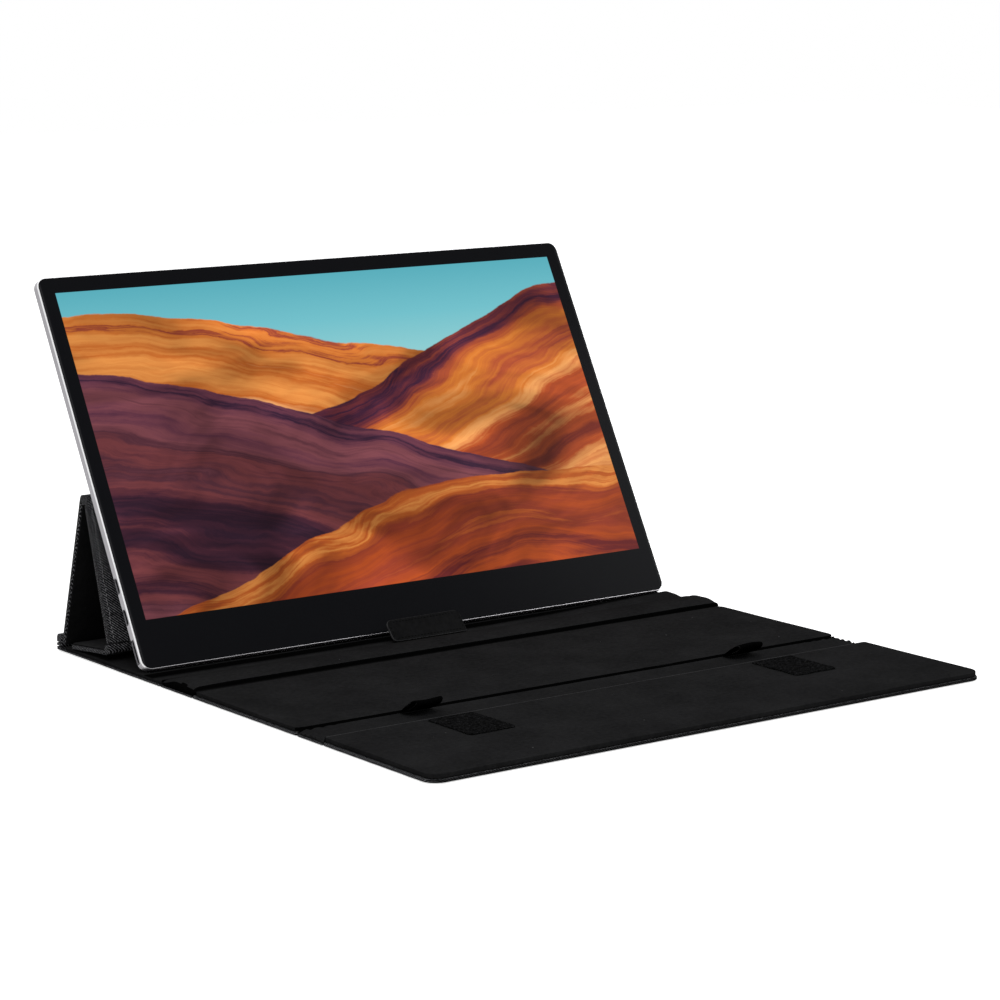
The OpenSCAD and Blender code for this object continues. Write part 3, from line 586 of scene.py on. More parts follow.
def build_materials():
    """Every finish, made once."""
    screen = bpy.context.scene.folio_screen
    cover = bpy.context.scene.folio_cover

    # glossy glass with the lit picture behind it
    material, tree, shader, place = new_material("lit_glass")
    angle = screen.lean - math.pi / 2
    turn = Matrix.Rotation(angle, 3, "X")
    shift = -(turn @ Vector((0, 0, screen.lip_height)))
    local = node(tree, "ShaderNodeMapping", {"Vector": place, "Rotation": (angle, 0, 0),
                                             "Location": shift})
    parts = split(tree, local.outputs[0])
    across = times_plus(tree, parts[0], 1 / screen.picture_width, 0.5)
    up = times_plus(tree, parts[1], 1 / screen.picture_height,
                    -screen.picture_bottom / screen.picture_height)
    edges = []
    for value, size in ((across, screen.picture_width), (up, screen.picture_height)):
        steep = size / (0.25 * MM)
        edges.append(times(tree, value, steep, clamp=True))
        edges.append(times(tree, maths(tree, "SUBTRACT", 1.0, value), steep, clamp=True))
    mask = edges[0]
    for other in edges[1:]:
        mask = times(tree, mask, other)
    picture = picture_colour(tree, across, up)
    lit = mix_colour(tree, mask, (0, 0, 0, 1), picture)
    smudge = use_group(tree, "Faint dust", Place=place, Colour=rgba(screen.border),
                       Dust=(0.02, 0.02, 0.022, 1), Amount=0.06)
    # the glass is painted a touch lighter near its long sides: a painted highlight for light
    # caught on its edge
    side = maths(tree, "SUBTRACT", maths(tree, "ABSOLUTE", parts[0]), 179.5 * MM)
    side = times(tree, side, 1 / (0.5 * MM), clamp=True)
    dark = mix_colour(tree, times(tree, side, 0.8), smudge.outputs[0], (0.022, 0.022, 0.024, 1))
    base = mix_colour(tree, mask, dark, (0.001, 0.001, 0.001, 1))
    feed(tree, shader, {
        "Base Color": base, "Emission Color": lit, "Emission Strength": screen.picture_light,
        "Roughness": times_plus(tree, smudge.outputs[1], 0.5, 0.16),
        "Specular IOR Level": 0.018})

    # satin silver metal
    material, tree, shader, place = new_material("satin_silver")
    stretch = node(tree, "ShaderNodeMapping", {"Vector": place, "Scale": (1.0, 40.0, 40.0)})
    brushed = noise(tree, stretch.outputs[0], 120.0, 4.0)
    upright = node(tree, "ShaderNodeMapping", {"Vector": place, "Rotation": (angle, 0, 0),
                                               "Location": shift})
    parts = split(tree, upright.outputs[0])
    # the front bevel is polished and the band behind it blasted; the bevel's brighter colour is a
    # painted highlight standing in for its reflection
    front = times(tree, plus(tree, parts[2], screen.bevel_depth), 1 / (0.12 * MM), clamp=True)
    dust = use_group(tree, "Faint dust", Place=place, Colour=rgba(screen.silver),
                     Dust=(0.52, 0.51, 0.53, 1), Amount=0.35)
    # along the lower edge the painted highlight is left out and it is satin like the rest
    above = times(tree, plus(tree, parts[1], -0.9 * MM), 1 / (0.8 * MM), clamp=True)
    front = times(tree, front, times_plus(tree, above, 0.85, 0.15))
    feed(tree, shader, {
        "Base Color": mix_colour(tree, front, dust.outputs[0], rgba(screen.painted_bevel_highlight)),
        "Roughness": times_plus(tree, brushed, 0.14, 0.30), "Metallic": 1.0})
    bump(tree, shader, brushed, 0.000002, 0.1)

    def plain(name, colour, roughness, metallic=0.0, scale=300.0, depth=0.00002, gloss=0.3):
        """A plain finish with a little grain and dust."""
        material, tree, shader, place = new_material(name)
        dust = use_group(tree, "Faint dust", Place=place, Colour=rgba(colour),
                         Dust=rgba([min(1, c * 1.6 + 0.02) for c in colour]), Amount=0.5)
        grain = noise(tree, place, scale, 4.0)
        feed(tree, shader, {
            "Base Color": dust.outputs[0], "Metallic": metallic,
            "Roughness": times_plus(tree, grain, 0.16, roughness - 0.08),
            "Specular IOR Level": gloss if metallic < 0.5 else 0.5})
        bump(tree, shader, grain, depth, 0.5)

    plain("socket_steel", (0.50, 0.51, 0.53), 0.30, 1.0)

    # sockets: steel at the mouth; the inside is painted dark, painted shade in the recess
    material, tree, shader, place = new_material("socket_mouth")
    parts = split(tree, place)
    depth = maths(tree, "SUBTRACT", maths(tree, "ABSOLUTE", parts[0]), 180.75 * MM)
    unshaded_mouth = times(tree, depth, 1 / (0.15 * MM), clamp=True)
    grain = noise(tree, place, 900.0, 3.0)
    feed(tree, shader, {
        "Base Color": mix_colour(tree, unshaded_mouth, (0.004, 0.004, 0.004, 1), (0.20, 0.20, 0.21, 1)),
        "Roughness": times_plus(tree, grain, 0.2, 0.35),
        "Metallic": unshaded_mouth, "Specular IOR Level": 0.1})

    # the rest of the rigid parts and the threads
    plain("magnet_grey", (0.42, 0.43, 0.45), 0.40, 1.0)
    plain("plate_grey", (0.55, 0.56, 0.58), 0.42, 1.0)
    plain("black_moulded", (0.012, 0.012, 0.013), 0.50)
    plain("panel_module", (0.020, 0.020, 0.022), 0.40)
    plain("cable_amber", (0.36, 0.15, 0.03), 0.35)
    plain("panel_card", (0.24, 0.21, 0.17), 0.85, scale=900.0)
    plain("pad_foam", (0.035, 0.035, 0.036), 0.9, scale=1500.0, depth=0.0001)
    plain("thread_dark", (0.0012, 0.0012, 0.0012), 0.9, scale=3000.0, gloss=0.0)
    plain("thread_light", (0.15, 0.15, 0.155), 0.9, scale=3000.0, gloss=0.0)

    # green circuit board with faint copper lines under the lacquer
    material, tree, shader, place = new_material("board_green")
    tracks = node(tree, "ShaderNodeTexBrick",
                  {"Vector": place, "Scale": 90.0, "Color1": (0.010, 0.105, 0.050, 1),
                   "Color2": (0.008, 0.085, 0.040, 1), "Mortar": (0.030, 0.19, 0.075, 1),
                   "Mortar Size": 0.012})
    feed(tree, shader, {"Base Color": tracks.outputs[0], "Roughness": 0.35})
    bump(tree, shader, tracks.outputs["Fac"], 0.00003, 0.4)

    def leather(name, colour, roughness, grain=900.0, depth=0.00010, dusty=1.0, shade=None):
        material, tree, shader, place = new_material(name)
        skin = use_group(tree, "Leather grain", Place=place, Grain_size=grain)
        dark = [c * 0.70 for c in colour]
        light = [c * 1.35 for c in colour]
        tone = ramp(tree, skin.outputs["Mottle"], [(0.32, dark), (0.68, light)])
        # where the shade mask falls to 0 the lining is painted down to a tenth of its colour:
        # painted shade
        if shade:
            tone = mix_colour(tree, shade(tree, place), rgba([c * 0.1 for c in colour]), tone)
        specks = times(tree, skin.outputs["Specks"], 0.20 * dusty)
        feed(tree, shader, {
            "Base Color": mix_colour(tree, specks, tone, (0.30, 0.30, 0.30, 1)),
            "Roughness": times_plus(tree, skin.outputs["Mottle"], 0.16, roughness - 0.08),
            "Specular IOR Level": 0.0})
        bump(tree, shader, skin.outputs["Height"], depth, 0.7)

    def painted_screen_shadow(tree, place):
        """Painted shadow of the screen: dark along its lower edge, narrower towards the right."""
        parts = split(tree, place)
        x, y = parts[0], parts[1]
        # full width up to 45 mm right of the middle, none at 165 mm
        width = times_plus(tree, x, -1 / 0.12, 0.165 / 0.12, clamp=True)
        far = times_plus(tree, width, -7.5 * MM, times(tree, y, -1.0))
        clear = times(tree, far, 1 / (4 * MM), clamp=True)
        return maths(tree, "MAXIMUM", clear, times(tree, y, 1 / MM, clamp=True))

    def painted_lip_shadow(tree, place):
        """Painted shadow at the foot of the spine's lip, wider towards the left."""
        parts = split(tree, place)
        width = times_plus(tree, parts[0], -10.0 * MM, 3.2 * MM)
        far = maths(tree, "SUBTRACT", CREASE_B.y - 0.4 * MM, parts[1])
        return maths(tree, "POWER", maths(tree, "DIVIDE", far, width, clamp=True), 2.0)

    leather("grained_lining", cover.leather, 0.75)
    leather("base_lining_skin", cover.leather, 0.75, shade=painted_screen_shadow)
    leather("inner_lining_skin", cover.leather, 0.75, shade=painted_lip_shadow)
    # the same leather on edges, in folds and in shaded places; lining_edge, inner_shade and
    # crease_skin are darker copies for painted shade, flap_lining a lighter copy for painted
    # light: how light, roughness, grain, dust
    for name, light, roughness, grain, dusty in (
            ("lining_edge", 0.70, 0.80, 900.0, 0.0), ("inner_shade", 0.42, 0.80, 900.0, 0.3),
            ("flap_lining", 1.7, 0.75, 900.0, 1.0), ("stitched_leather", 0.62, 0.65, 1200.0, 0.5),
            ("tab_edge", 3.4, 0.65, 1200.0, 0.0), ("crease_skin", 0.12, 0.85, 900.0, 0.0),
            ("crease_line", 2.9, 0.75, 900.0, 0.0)):
        leather(name, [c * light for c in cover.leather], roughness, grain, dusty=dusty)

    def weave(name, dark, light, pitch, roughness=0.9):
        material, tree, shader, place = new_material(name)
        cloth = use_group(tree, "Twill weave", Place=place, Yarn_pitch=pitch)
        tone = mix_colour(tree, cloth.outputs["Light yarn"], rgba(dark), rgba(light))
        feed(tree, shader, {"Base Color": tone, "Roughness": roughness,
                            "Specular IOR Level": 0.0})
        bump(tree, shader, cloth.outputs["Height"], 0.00015, 0.9)

    weave("woven_cloth", cover.weave_dark, cover.weave_light, 1.9 * MM)
    # turned_edge and hem_cloth take the lighter colour: painted light on the cloth's side edges
    # and hem
    weave("turned_edge", [c * 0.05 for c in cover.painted_edge_light], cover.painted_edge_light, 1.5 * MM)
    weave("hem_cloth", cover.weave_dark, cover.painted_edge_light, 0.95 * MM)
    # rim_cloth is a darker copy of the weave: painted shade on the cloth's front and rear edges
    weave("rim_cloth", (0.004, 0.004, 0.004), (0.040, 0.040, 0.042), 1.5 * MM)
    weave("pull_ribbon", (0.0012, 0.0012, 0.0012), (0.0030, 0.0030, 0.0032), 0.9 * MM)
    weave("ribbon_edge", (0.008, 0.008, 0.008), (0.045, 0.045, 0.047), 0.7 * MM)

    # hook tape: a dense bed of short dark bristles
    material, tree, shader, place = new_material("hook_tape")
    tufts = node(tree, "ShaderNodeTexVoronoi", {"Vector": place, "Scale": 1100.0})
    fuzz = noise(tree, place, 620.0, 5.0, 0.85)
    height = plus(tree, maths(tree, "SUBTRACT", 1.0, tufts.outputs["Distance"]), fuzz)
    tone = ramp(tree, fuzz, [(0.38, (0.0022, 0.0022, 0.0022)), (0.52, (0.0065, 0.0065, 0.0068)),
                             (0.64, (0.018, 0.018, 0.019)), (0.76, (0.075, 0.075, 0.077))])
    feed(tree, shader, {"Base Color": tone, "Roughness": 0.95, "Specular IOR Level": 0.0})
    bump(tree, shader, height, 0.0006, 0.9)


SCREEN_FINISHES = {
    "cover_glass": "lit_glass", "lcd_panel": "panel_module", "mid_plate": "plate_grey",
    "rear_housing": "satin_silver", "main_board": "board_green", "board_screws": "socket_steel",
    "upper_usb_socket": "socket_mouth", "lower_usb_socket": "socket_mouth",
    "video_socket": "socket_mouth", "headphone_socket": "black_moulded",
    "control_board": "board_green", "left_speaker": "black_moulded",
    "right_speaker": "black_moulded", "display_ribbon": "cable_amber",
    "control_ribbon": "cable_amber", "housing_magnets": "magnet_grey",
    "rocker_pin": "socket_steel", "power_button": "satin_silver", "menu_rocker": "satin_silver",
    "leg_magnets": "magnet_grey", "base_board": "panel_card", "inner_board": "panel_card",
    "front_board": "panel_card", "back_leg_board": "panel_card",
    "front_leg_board": "panel_card", "foot_flap_board": "panel_card", "spine_pad": "pad_foam",
}


class FOLIO_OT_finishes(bpy.types.Operator):
    """Makes the finishes and gives the rigid parts theirs"""

    bl_idname = "folio.finishes"
    bl_label = "Finishes"

    def execute(self, context):
        build_groups()
        build_materials()
        for name, finish in SCREEN_FINISHES.items():
            mesh = frame["nodes"][name].data
            mesh.materials.clear()
            mesh.materials.append(bpy.data.materials[finish])
        return {"FINISHED"}


def edges_of(node_name):
    low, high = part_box(node_name)
    return (low.x, high.x), (low.y, high.y), (low.z, high.z)


def wave_top(obj, seed, depth, top):
    """Makes a skin's upper side softly uneven, never above its top."""
    def move(p):
        if p.z > top - 0.3 * MM:
            p.z -= depth * (0.5 + 0.5 * hump(seed, p, 0.021))
        return p
    reshape(obj, move)


def panel_skin(name, node_name, body, seed, corners, foot, finish="grained_lining"):
    """Grained lining drawn over a panel down to its rim, with soft unevenness."""
    cover = bpy.context.scene.folio_cover
    x, y, z = edges_of(node_name)
    rows = max(6, int((y[1] - y[0]) / (7 * MM)))
    obj = cap(name, x, y, (foot, z[1]), corners, cover.edge_round, 1.2 * MM, 0.84 * MM,
              (60, rows))
    wave_top(obj, seed, cover.waviness, z[1])
    # the skin's edge faces take lining_edge, a darker copy of the leather: painted shade
    return finish_piece(obj, finish, body, [node_name],
                        edge_material="lining_edge")


def panel_cloth(name, node_name, body, corners, top=None):
    """Woven outside of a panel; its edge shows below the lining as a thin rim, with painted light
    on its side ends and painted shade on its front and rear.
    """
    cover = bpy.context.scene.folio_cover
    x, y, z = edges_of(node_name)
    top = top or cover.rim
    obj = slab(name, x, y, (z[0], top), corners, min(0.38 * MM, top * 0.36), cuts=(90, 0))

    def move(p):
        # the cloth's edge isn't quite straight
        if abs(p.x) > x[1] - 2 * MM:
            p.x -= math.copysign(0.14 * MM * (0.5 + 0.5 * math.sin(p.y * 410)), p.x)
        return p
    if y[1] - y[0] > 30 * MM:
        cut(obj, 1, spread(y[0], y[1], int((y[1] - y[0]) / (5 * MM))))
        reshape(obj, move)
    finish_piece(obj, "woven_cloth", body, [node_name],
                 edge_material="turned_edge")
    # along the front and rear the cloth's edge is painted darker: painted shade on the faces
    # turned from the lamps
    paint(obj, "rim_cloth", lambda centre, normal: abs(normal.y) > 0.6)
    return obj


def lift_corner(p, amount):
    """The cover's right end isn't pressed flat in front of the screen, and lifts a little."""
    side = clamp((p.x - 85 * MM) / (95 * MM))
    # highest at the screen, less towards the crease, none under the screen
    slope = 1 + 0.4 * max(-1.0, (p.y + 1 * MM) / (17 * MM))
    ahead = clamp((0.6 * MM - p.y) / (1.8 * MM)) * slope
    back = clamp((p.y + 56 * MM) / (12 * MM))
    notch = min(1.0, abs(p.y - CREASE_A.y) / (3 * MM))
    p.z += amount * side ** 1.6 * ahead * back * notch
    return p


def crease_strip(name, low, high, rise, bodies, material, sag=0.0, thick=None):
    """Thin web across a crease. rise is its height at each side."""
    cover_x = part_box("base_outer")
    x = (cover_x[0].x + 1.2 * MM, cover_x[1].x - 1.2 * MM)
    thick = thick or 0.45 * MM
    obj = add_box(name, (x[0], low, 0), (x[1], high, thick))
    cut(obj, 1, spread(low, high, 7))

    def move(p):
        t = (p.y - low) / (high - low)
        p.z += rise[0] + (rise[1] - rise[0]) * t - sag * math.sin(math.pi * t)
        return p
    reshape(obj, move)
    finish_piece(obj, material, None)
    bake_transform(obj)
    return obj


def stitch_line(name, start, end, up, body, material="thread_dark", matrix=None, pitch=None,
                radius=0.28 * MM, sway=0.0):
    """A row of short sewn stitches from one point to another. sway makes the row waver."""
    pitch = pitch or bpy.context.scene.folio_cover.stitch_pitch
    start, end = Vector(start), Vector(end)
    run = end - start
    count = max(2, int(run.length / pitch))
    clear_selection()
    bpy.ops.mesh.primitive_cylinder_add(vertices=8, radius=radius, depth=pitch * 0.62,
                                        rotation=(0, math.pi / 2, 0))
    obj = settle(bpy.context.object, name)
    bevel_edges(obj, lambda a, b: abs(a.x - b.x) < 1e-7, radius * 0.55, 2)
    along = run.normalized()
    across = Vector(up).cross(along)
    turn = Matrix((along, across, Vector(up))).transposed().to_4x4()
    obj.matrix_world = Matrix.Translation(start + along * pitch / 2) @ turn
    settle(obj, name)
    row = obj.modifiers.new("Row", "ARRAY")
    row.use_relative_offset = False
    row.use_constant_offset = True
    row.constant_offset_displace = along * (run.length / count)
    row.count = count
    take(obj)
    bpy.ops.object.modifier_apply(modifier=row.name)
    if sway:
        reshape(obj, lambda p: p + across * sway * (
            math.sin(p.y * 520) + 0.6 * math.sin(p.y * 1310 + 1)))
    if matrix is not None:
        put_in(obj, matrix)
    return finish_piece(obj, material, body)


class FOLIO_OT_base_panel(bpy.types.Operator):
    """Panel that lies under the screen"""

    bl_idname = "folio.base_panel"
    bl_label = "Base panel"

    def execute(self, context):
        cloth = panel_cloth("base_cloth", "base_outer", "base", (1 * MM, 1.5 * MM), 0.95 * MM)
        skin = panel_skin("base_skin", "base_lining", "base", 1.0, (1 * MM, 2 * MM), 1.15 * MM,
                          "base_lining_skin")
        cut(skin, 1, (-0.9 * MM, -3 * MM))
        for obj in (cloth, skin):
            reshape(obj, lambda p: lift_corner(p, 2.1 * MM if p.z > 0.1 * MM else 1.2 * MM))

        def thin_out(p):
            # the cloth is drawn up off the table towards its rear corners
            if p.z < 0.3 * MM:
                p.z += 0.5 * MM * clamp((abs(p.x) - 100 * MM) / (80 * MM)) * clamp(
                    (p.y - 20 * MM) / (70 * MM))
            return p
        reshape(cloth, thin_out)
        x, y, z = edges_of("rear_fold")
        # the outer cloth turns up behind the back leg in a soft roll of three layers
        radius = (y[1] - y[0]) / 2
        obj = add_box("rear_roll", (x[0], y[0], 0.9 * MM), (x[1], y[1], z[1]))
        bevel_edges(obj, lambda a, b: abs(a.x - b.x) > 0.1 and a.z > z[1] - 1e-5, radius * 0.96, 7)
        cut(obj, 0, spread(x[0], x[1], 60) + [x[0] + 1 * MM, x[1] - 1 * MM])
        grooves = (1.9 * MM, 3.7 * MM)
        for g in grooves:
            cut(obj, 2, [g - 0.35 * MM, g, g + 0.35 * MM])

        def move(p):
            if p.z > z[0] + 2 * MM:
                sway = hump(3.0, Vector((p.x * 2, p.z, 0)), 0.03)
                p.z -= 0.35 * MM * (0.5 + 0.5 * sway)
                p.y += 0.08 * MM * sway
            if min(abs(p.z - g) for g in grooves) < 0.05 * MM:
                # the grooves between the turns of the cloth
                middle = (y[0] + y[1]) / 2
                p.y = middle + (p.y - middle) * 0.84
                p.x -= math.copysign(0.6 * MM, p.x) if abs(p.x) > x[1] - 1e-4 else 0
            elif abs(p.x) > x[1] - 1e-4:
                p.x += math.copysign(1.4 * MM, p.x)
            if p.z > 1 * MM:
                p.z = 0.9 * MM + (p.z - 0.9 * MM) * 1.22
            return p
        reshape(obj, move)
        finish_piece(obj, "woven_cloth", "base", ["rear_fold"])
        paint(obj, "turned_edge", lambda centre, normal: abs(normal.x) > 0.6)
        return {"FINISHED"}


class FOLIO_OT_spine(bpy.types.Operator):
    """Arched padded spine in front of the screen"""

    bl_idname = "folio.spine"
    bl_label = "Arched spine"

    def execute(self, context):
        cover = context.scene.folio_cover
        cloth = panel_cloth("spine_cloth", "spine_outer", "spine", (0.6 * MM, 0.6 * MM),
                            0.78 * MM)
        reshape(cloth, lambda p: lift_corner(p, 1.8 * MM))
        x, y, z = edges_of("spine_lining")
        low_y, high_y = y
        foot = 0.84 * MM
        # one padded skin from crease to crease, closed round its foam
        obj = add_box("spine_skin", (x[0], low_y, 0), (x[1], high_y, 1))
        cut(obj, 0, spread(x[0], x[1], 150))
        for side in (-1, 1):
            cut(obj, 0, [side * (x[1] - d * MM) for d in (0.3, 0.8, 1.6, 2.6, 3.8)])
        cut(obj, 1, spread(low_y, high_y, 22))
        cut(obj, 1, [low_y + 0.35 * MM, low_y + 0.9 * MM, high_y - 0.4 * MM, high_y - 1 * MM])
        cut(obj, 2, [0.12, 0.3, 0.5, 0.7, 0.86, 0.95])
        half = x[1]

        def move(p):
            u = clamp((high_y - p.y) / (high_y - low_y))
            crown = cover.spine_crown * math.sin(math.pi * u) ** 1.15
            top = cover.spine_rear + (cover.spine_lip - cover.spine_rear) * u + crown
            # both long edges roll over: tight at the front lip, softer at the rear
            lip = (p.y - low_y) / (1.3 * MM)
            if lip < 1:
                top -= 1.0 * MM * round_over(lip)
            end = half - abs(p.x)
            near = max(0.0, 1 - end / (30 * MM))
            # the ends are pulled down and puckered
            if end < 5 * MM:
                top -= (2.6 if p.x < 0 else 1.6) * MM * round_over(end / (5 * MM))
            ripple = math.sin(p.x * 1150 + 2.4 * math.sin(u * 4.5)) * math.sin(math.pi * u)
            top += near * near * (0.42 * MM * ripple - 0.35 * MM)
            top -= 0.30 * MM * near * math.sin(u * 8.5) ** 2
            top -= 0.13 * MM * (0.5 + 0.5 * hump(5.0, p, 0.018))
            t = p.z  # the box is built 1 high, so its z is the share of the way up
            p.z = foot + (max(top, foot + 0.8 * MM) - foot) * t
            p = lift_corner(p, 2.0 * MM)
            # sides lean in towards the foot
            if abs(p.x) > half - 1e-5:
                p.x -= math.copysign(0.5 * MM * (1 - t) + 0.3 * MM * math.sin(p.y * 900), p.x)
            return p
        reshape(obj, move)
        # the spine's steep faces, its lip and ends, take crease_skin: painted shade, near-black
        finish_piece(obj, "grained_lining", "spine",
                     ["spine_lining", "spine_pad"], edge_material="crease_skin")
        return {"FINISHED"}


class FOLIO_OT_inner_panel(bpy.types.Operator):
    """Wide panel in the middle of the cover"""

    bl_idname = "folio.inner_panel"
    bl_label = "Inner panel"

    def execute(self, context):
        cover = context.scene.folio_cover
        r = cover.skin_corner
        panel_cloth("inner_cloth", "inner_outer", "inner_panel", (2 * MM, 1 * MM))
        obj = panel_skin("inner_skin", "inner_lining", "inner_panel", 2.0, (r, r),
                         cover.rim + 0.45 * MM, "inner_lining_skin")
        # the inner skin's front edge faces are painted near-black: painted shade below its step
        paint(obj, "crease_skin", lambda centre, normal: normal.y < -0.45)
        return {"FINISHED"}


def ribbon_loop(name, node_name, side):
    """A flat ribbon folded back on itself and sewn down at its root."""
    x, y, z = edges_of(node_name)
    clear_selection()
    bpy.ops.mesh.primitive_plane_add(size=1)
    obj = settle(bpy.context.object, name)
    root = Vector((0, y[1] + 1.9 * MM, z[0] + 0.4 * MM))
    tip = Vector((0, y[0] + 2.4 * MM, z[1] - 1.6 * MM))
    reach = (tip - root).length
    lean = math.atan2(tip.z - root.z, root.y - tip.y)
    half = (x[1] - x[0]) / 2
    middle = (x[0] + x[1]) / 2 - 2.0 * MM
    cut(obj, 1, spread(-0.5, 0.5, 48))
    cut(obj, 0, spread(-0.5, 0.5, 10))

    def move(p):
        # a teardrop in side view: pinched at the root, with a firm fold at the tip
        t = (p.y + 0.5) * 2 * math.pi
        fold = (1 - math.cos(t)) / 2
        along = reach * fold ** 0.8
        swell = 1.9 * MM * math.sin(t) * (0.35 + 0.65 * fold)
        wide = p.x * 2 * half * (1 - 0.16 * fold)
        sag = 0.35 * MM * math.sin(p.x * 5 + 1.3 * side) * fold
        y_out = root.y - along * math.cos(lean) + swell * math.sin(lean)
        z_out = root.z + along * math.sin(lean) + swell * math.cos(lean) + sag
        return Vector((middle + wide + 0.6 * MM * fold, y_out, z_out))
    reshape(obj, move)
    take(obj)
    wall = obj.modifiers.new("Ribbon", "SOLIDIFY")
    wall.thickness = 0.7 * MM
    wall.offset = 0.0
    bpy.ops.object.modifier_apply(modifier=wall.name)
    bpy.ops.object.mode_set(mode="EDIT")
    bpy.ops.mesh.select_all(action="SELECT")
    bpy.ops.mesh.remove_doubles(threshold=0.00001)
    bpy.ops.mesh.normals_make_consistent(inside=False)
    leave_edit()
    soften(obj, 1)
    finish_piece(obj, "pull_ribbon", "middle_spine", [node_name])
    paint(obj, "ribbon_edge", lambda centre, normal: abs(normal.x) > 0.75)
    return obj


class FOLIO_OT_middle_spine(bpy.types.Operator):
    """Thin flexible strip with the two pull loops"""

    bl_idname = "folio.middle_spine"
    bl_label = "Middle spine and pull loops"

    def execute(self, context):
        cover = context.scene.folio_cover
        panel_cloth("middle_cloth", "middle_outer", "middle_spine", (0.6 * MM, 0.6 * MM),
                    1.0 * MM)
        x, y, z = edges_of("middle_lining")
        obj = slab("middle_skin", x, y, (z[0], z[1]), (0.8 * MM, 0.8 * MM), 0.35 * MM,
                   cuts=(150, 20), steps=3)
        half = x[1]

        def move(p):
            if p.z > z[1] - 0.4 * MM:
                rise = max(0.0, (p.y - y[1] + 7 * MM) / (7 * MM))
                p.z += 0.75 * MM * rise * rise
                near = max(0.0, 1 - (half - abs(p.x)) / (30 * MM))
                p.z -= cover.waviness * (0.5 + 0.5 * hump(7.0, p, 0.012))
                p.z += 0.60 * MM * near * math.sin(p.x * 900 + p.y * 260) - 0.15 * MM * near
                if near > 0.9:
                    p.z += 0.50 * MM * math.sin(p.y * 1450 + 0.8 * math.sin(p.y * 600))
            return p
        reshape(obj, move)
        finish_piece(obj, "grained_lining", "middle_spine", ["middle_lining"],
                     edge_material="lining_edge")
        ribbon_loop("left_ribbon", "left_pull_loop", -1)
        ribbon_loop("right_ribbon", "right_pull_loop", 1)
        return {"FINISHED"}


def hook_bed(name, node_name):
    """A patch of hook tape with a rough top."""
    x, y, z = edges_of(node_name)
    obj = slab(name, x, y, z, (2 * MM, 2 * MM), 0.3 * MM, cuts=(44, 58), steps=3)

    def move(p):
        if p.z > z[1] - 0.35 * MM:
            rough = math.sin(p.x * 5200 + 2 * math.sin(p.y * 3100)) * math.sin(p.y * 4700)
            p.z -= 0.22 * MM * (0.5 + 0.5 * rough)
        # the cut edge of the tape is ragged
        for axis, span in ((0, x), (1, y)):
            if min(abs(p[axis] - span[0]), abs(p[axis] - span[1])) < 0.9 * MM:
                inward = 1 if abs(p[axis] - span[0]) < 0.9 * MM else -1
                other = p[1 - axis]
                p[axis] += inward * 0.75 * MM * (0.5 + 0.5 * math.sin(
                    other * 2900 + 2.2 * math.sin(other * 1270)))
        return p
    reshape(obj, move)
    return finish_piece(obj, "hook_tape", "front_panel", [node_name])


class FOLIO_OT_front_panel(bpy.types.Operator):
    """Front panel with its two hook patches"""

    bl_idname = "folio.front_panel"
    bl_label = "Front panel and hook patches"

    def execute(self, context):
        cover = context.scene.folio_cover
        panel_cloth("front_cloth", "front_outer", "front_panel", (cover.corner, 1 * MM),
                    cover.rim + 0.2 * MM)
        skin = panel_skin("front_skin", "front_lining", "front_panel", 4.0,
                          (cover.corner - 0.8 * MM, 1.5 * MM), cover.rim + 0.60 * MM)
        # the crease shows as a thin lighter line along the panel's rear edge
        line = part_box("front_lining")[1].y - 1.1 * MM
        cut(skin, 1, [line])
        paint(skin, "crease_line", lambda centre, normal: centre.y > line and normal.z > 0.3)
        hook_bed("left_hooks", "left_hook_patch")
        hook_bed("right_hooks", "right_hook_patch")
        return {"FINISHED"}


class FOLIO_OT_creases(bpy.types.Operator):
    """Webs of cloth and lining across the creases"""

    bl_idname = "folio.creases"
    bl_label = "Creases"

    def execute(self, context):
        gap = 0.42 * MM
        thick = 0.45 * MM
        base, inner, middle, front = (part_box(n + "_lining")[1].z for n in (
            "base", "inner", "middle", "front"))
        rear = context.scene.folio_cover.spine_rear
        lip = context.scene.folio_cover.spine_lip - 1.0 * MM
        # label, crease, bodies, height behind, height ahead, how deep the web lies below them
        rows = [
            ("ab", CREASE_A, ("base", "spine"), base, rear, 0.15 * MM),
            ("bc", CREASE_B, ("spine", "inner_panel"), lip, inner, 1.2 * MM),
            ("cd", CREASE_C, ("inner_panel", "middle_spine"), inner, middle, 0.9 * MM),
            ("de", CREASE_D, ("middle_spine", "front_panel"), middle, front, 0.2 * MM),
        ]
        for label, point, bodies, behind, ahead, deep in rows:
            low, high = point.y - gap, point.y + gap
            crease_strip("crease_cloth_" + label, low, high, (0.05 * MM, 0.05 * MM), bodies,
                         "turned_edge")
            # the lining web takes crease_skin: painted shade in the crease
            crease_strip("crease_skin_" + label, low, high,
                         (ahead - thick - deep, behind - thick - deep), bodies,
                         "crease_skin", sag=0.25 * MM)
        return {"FINISHED"}


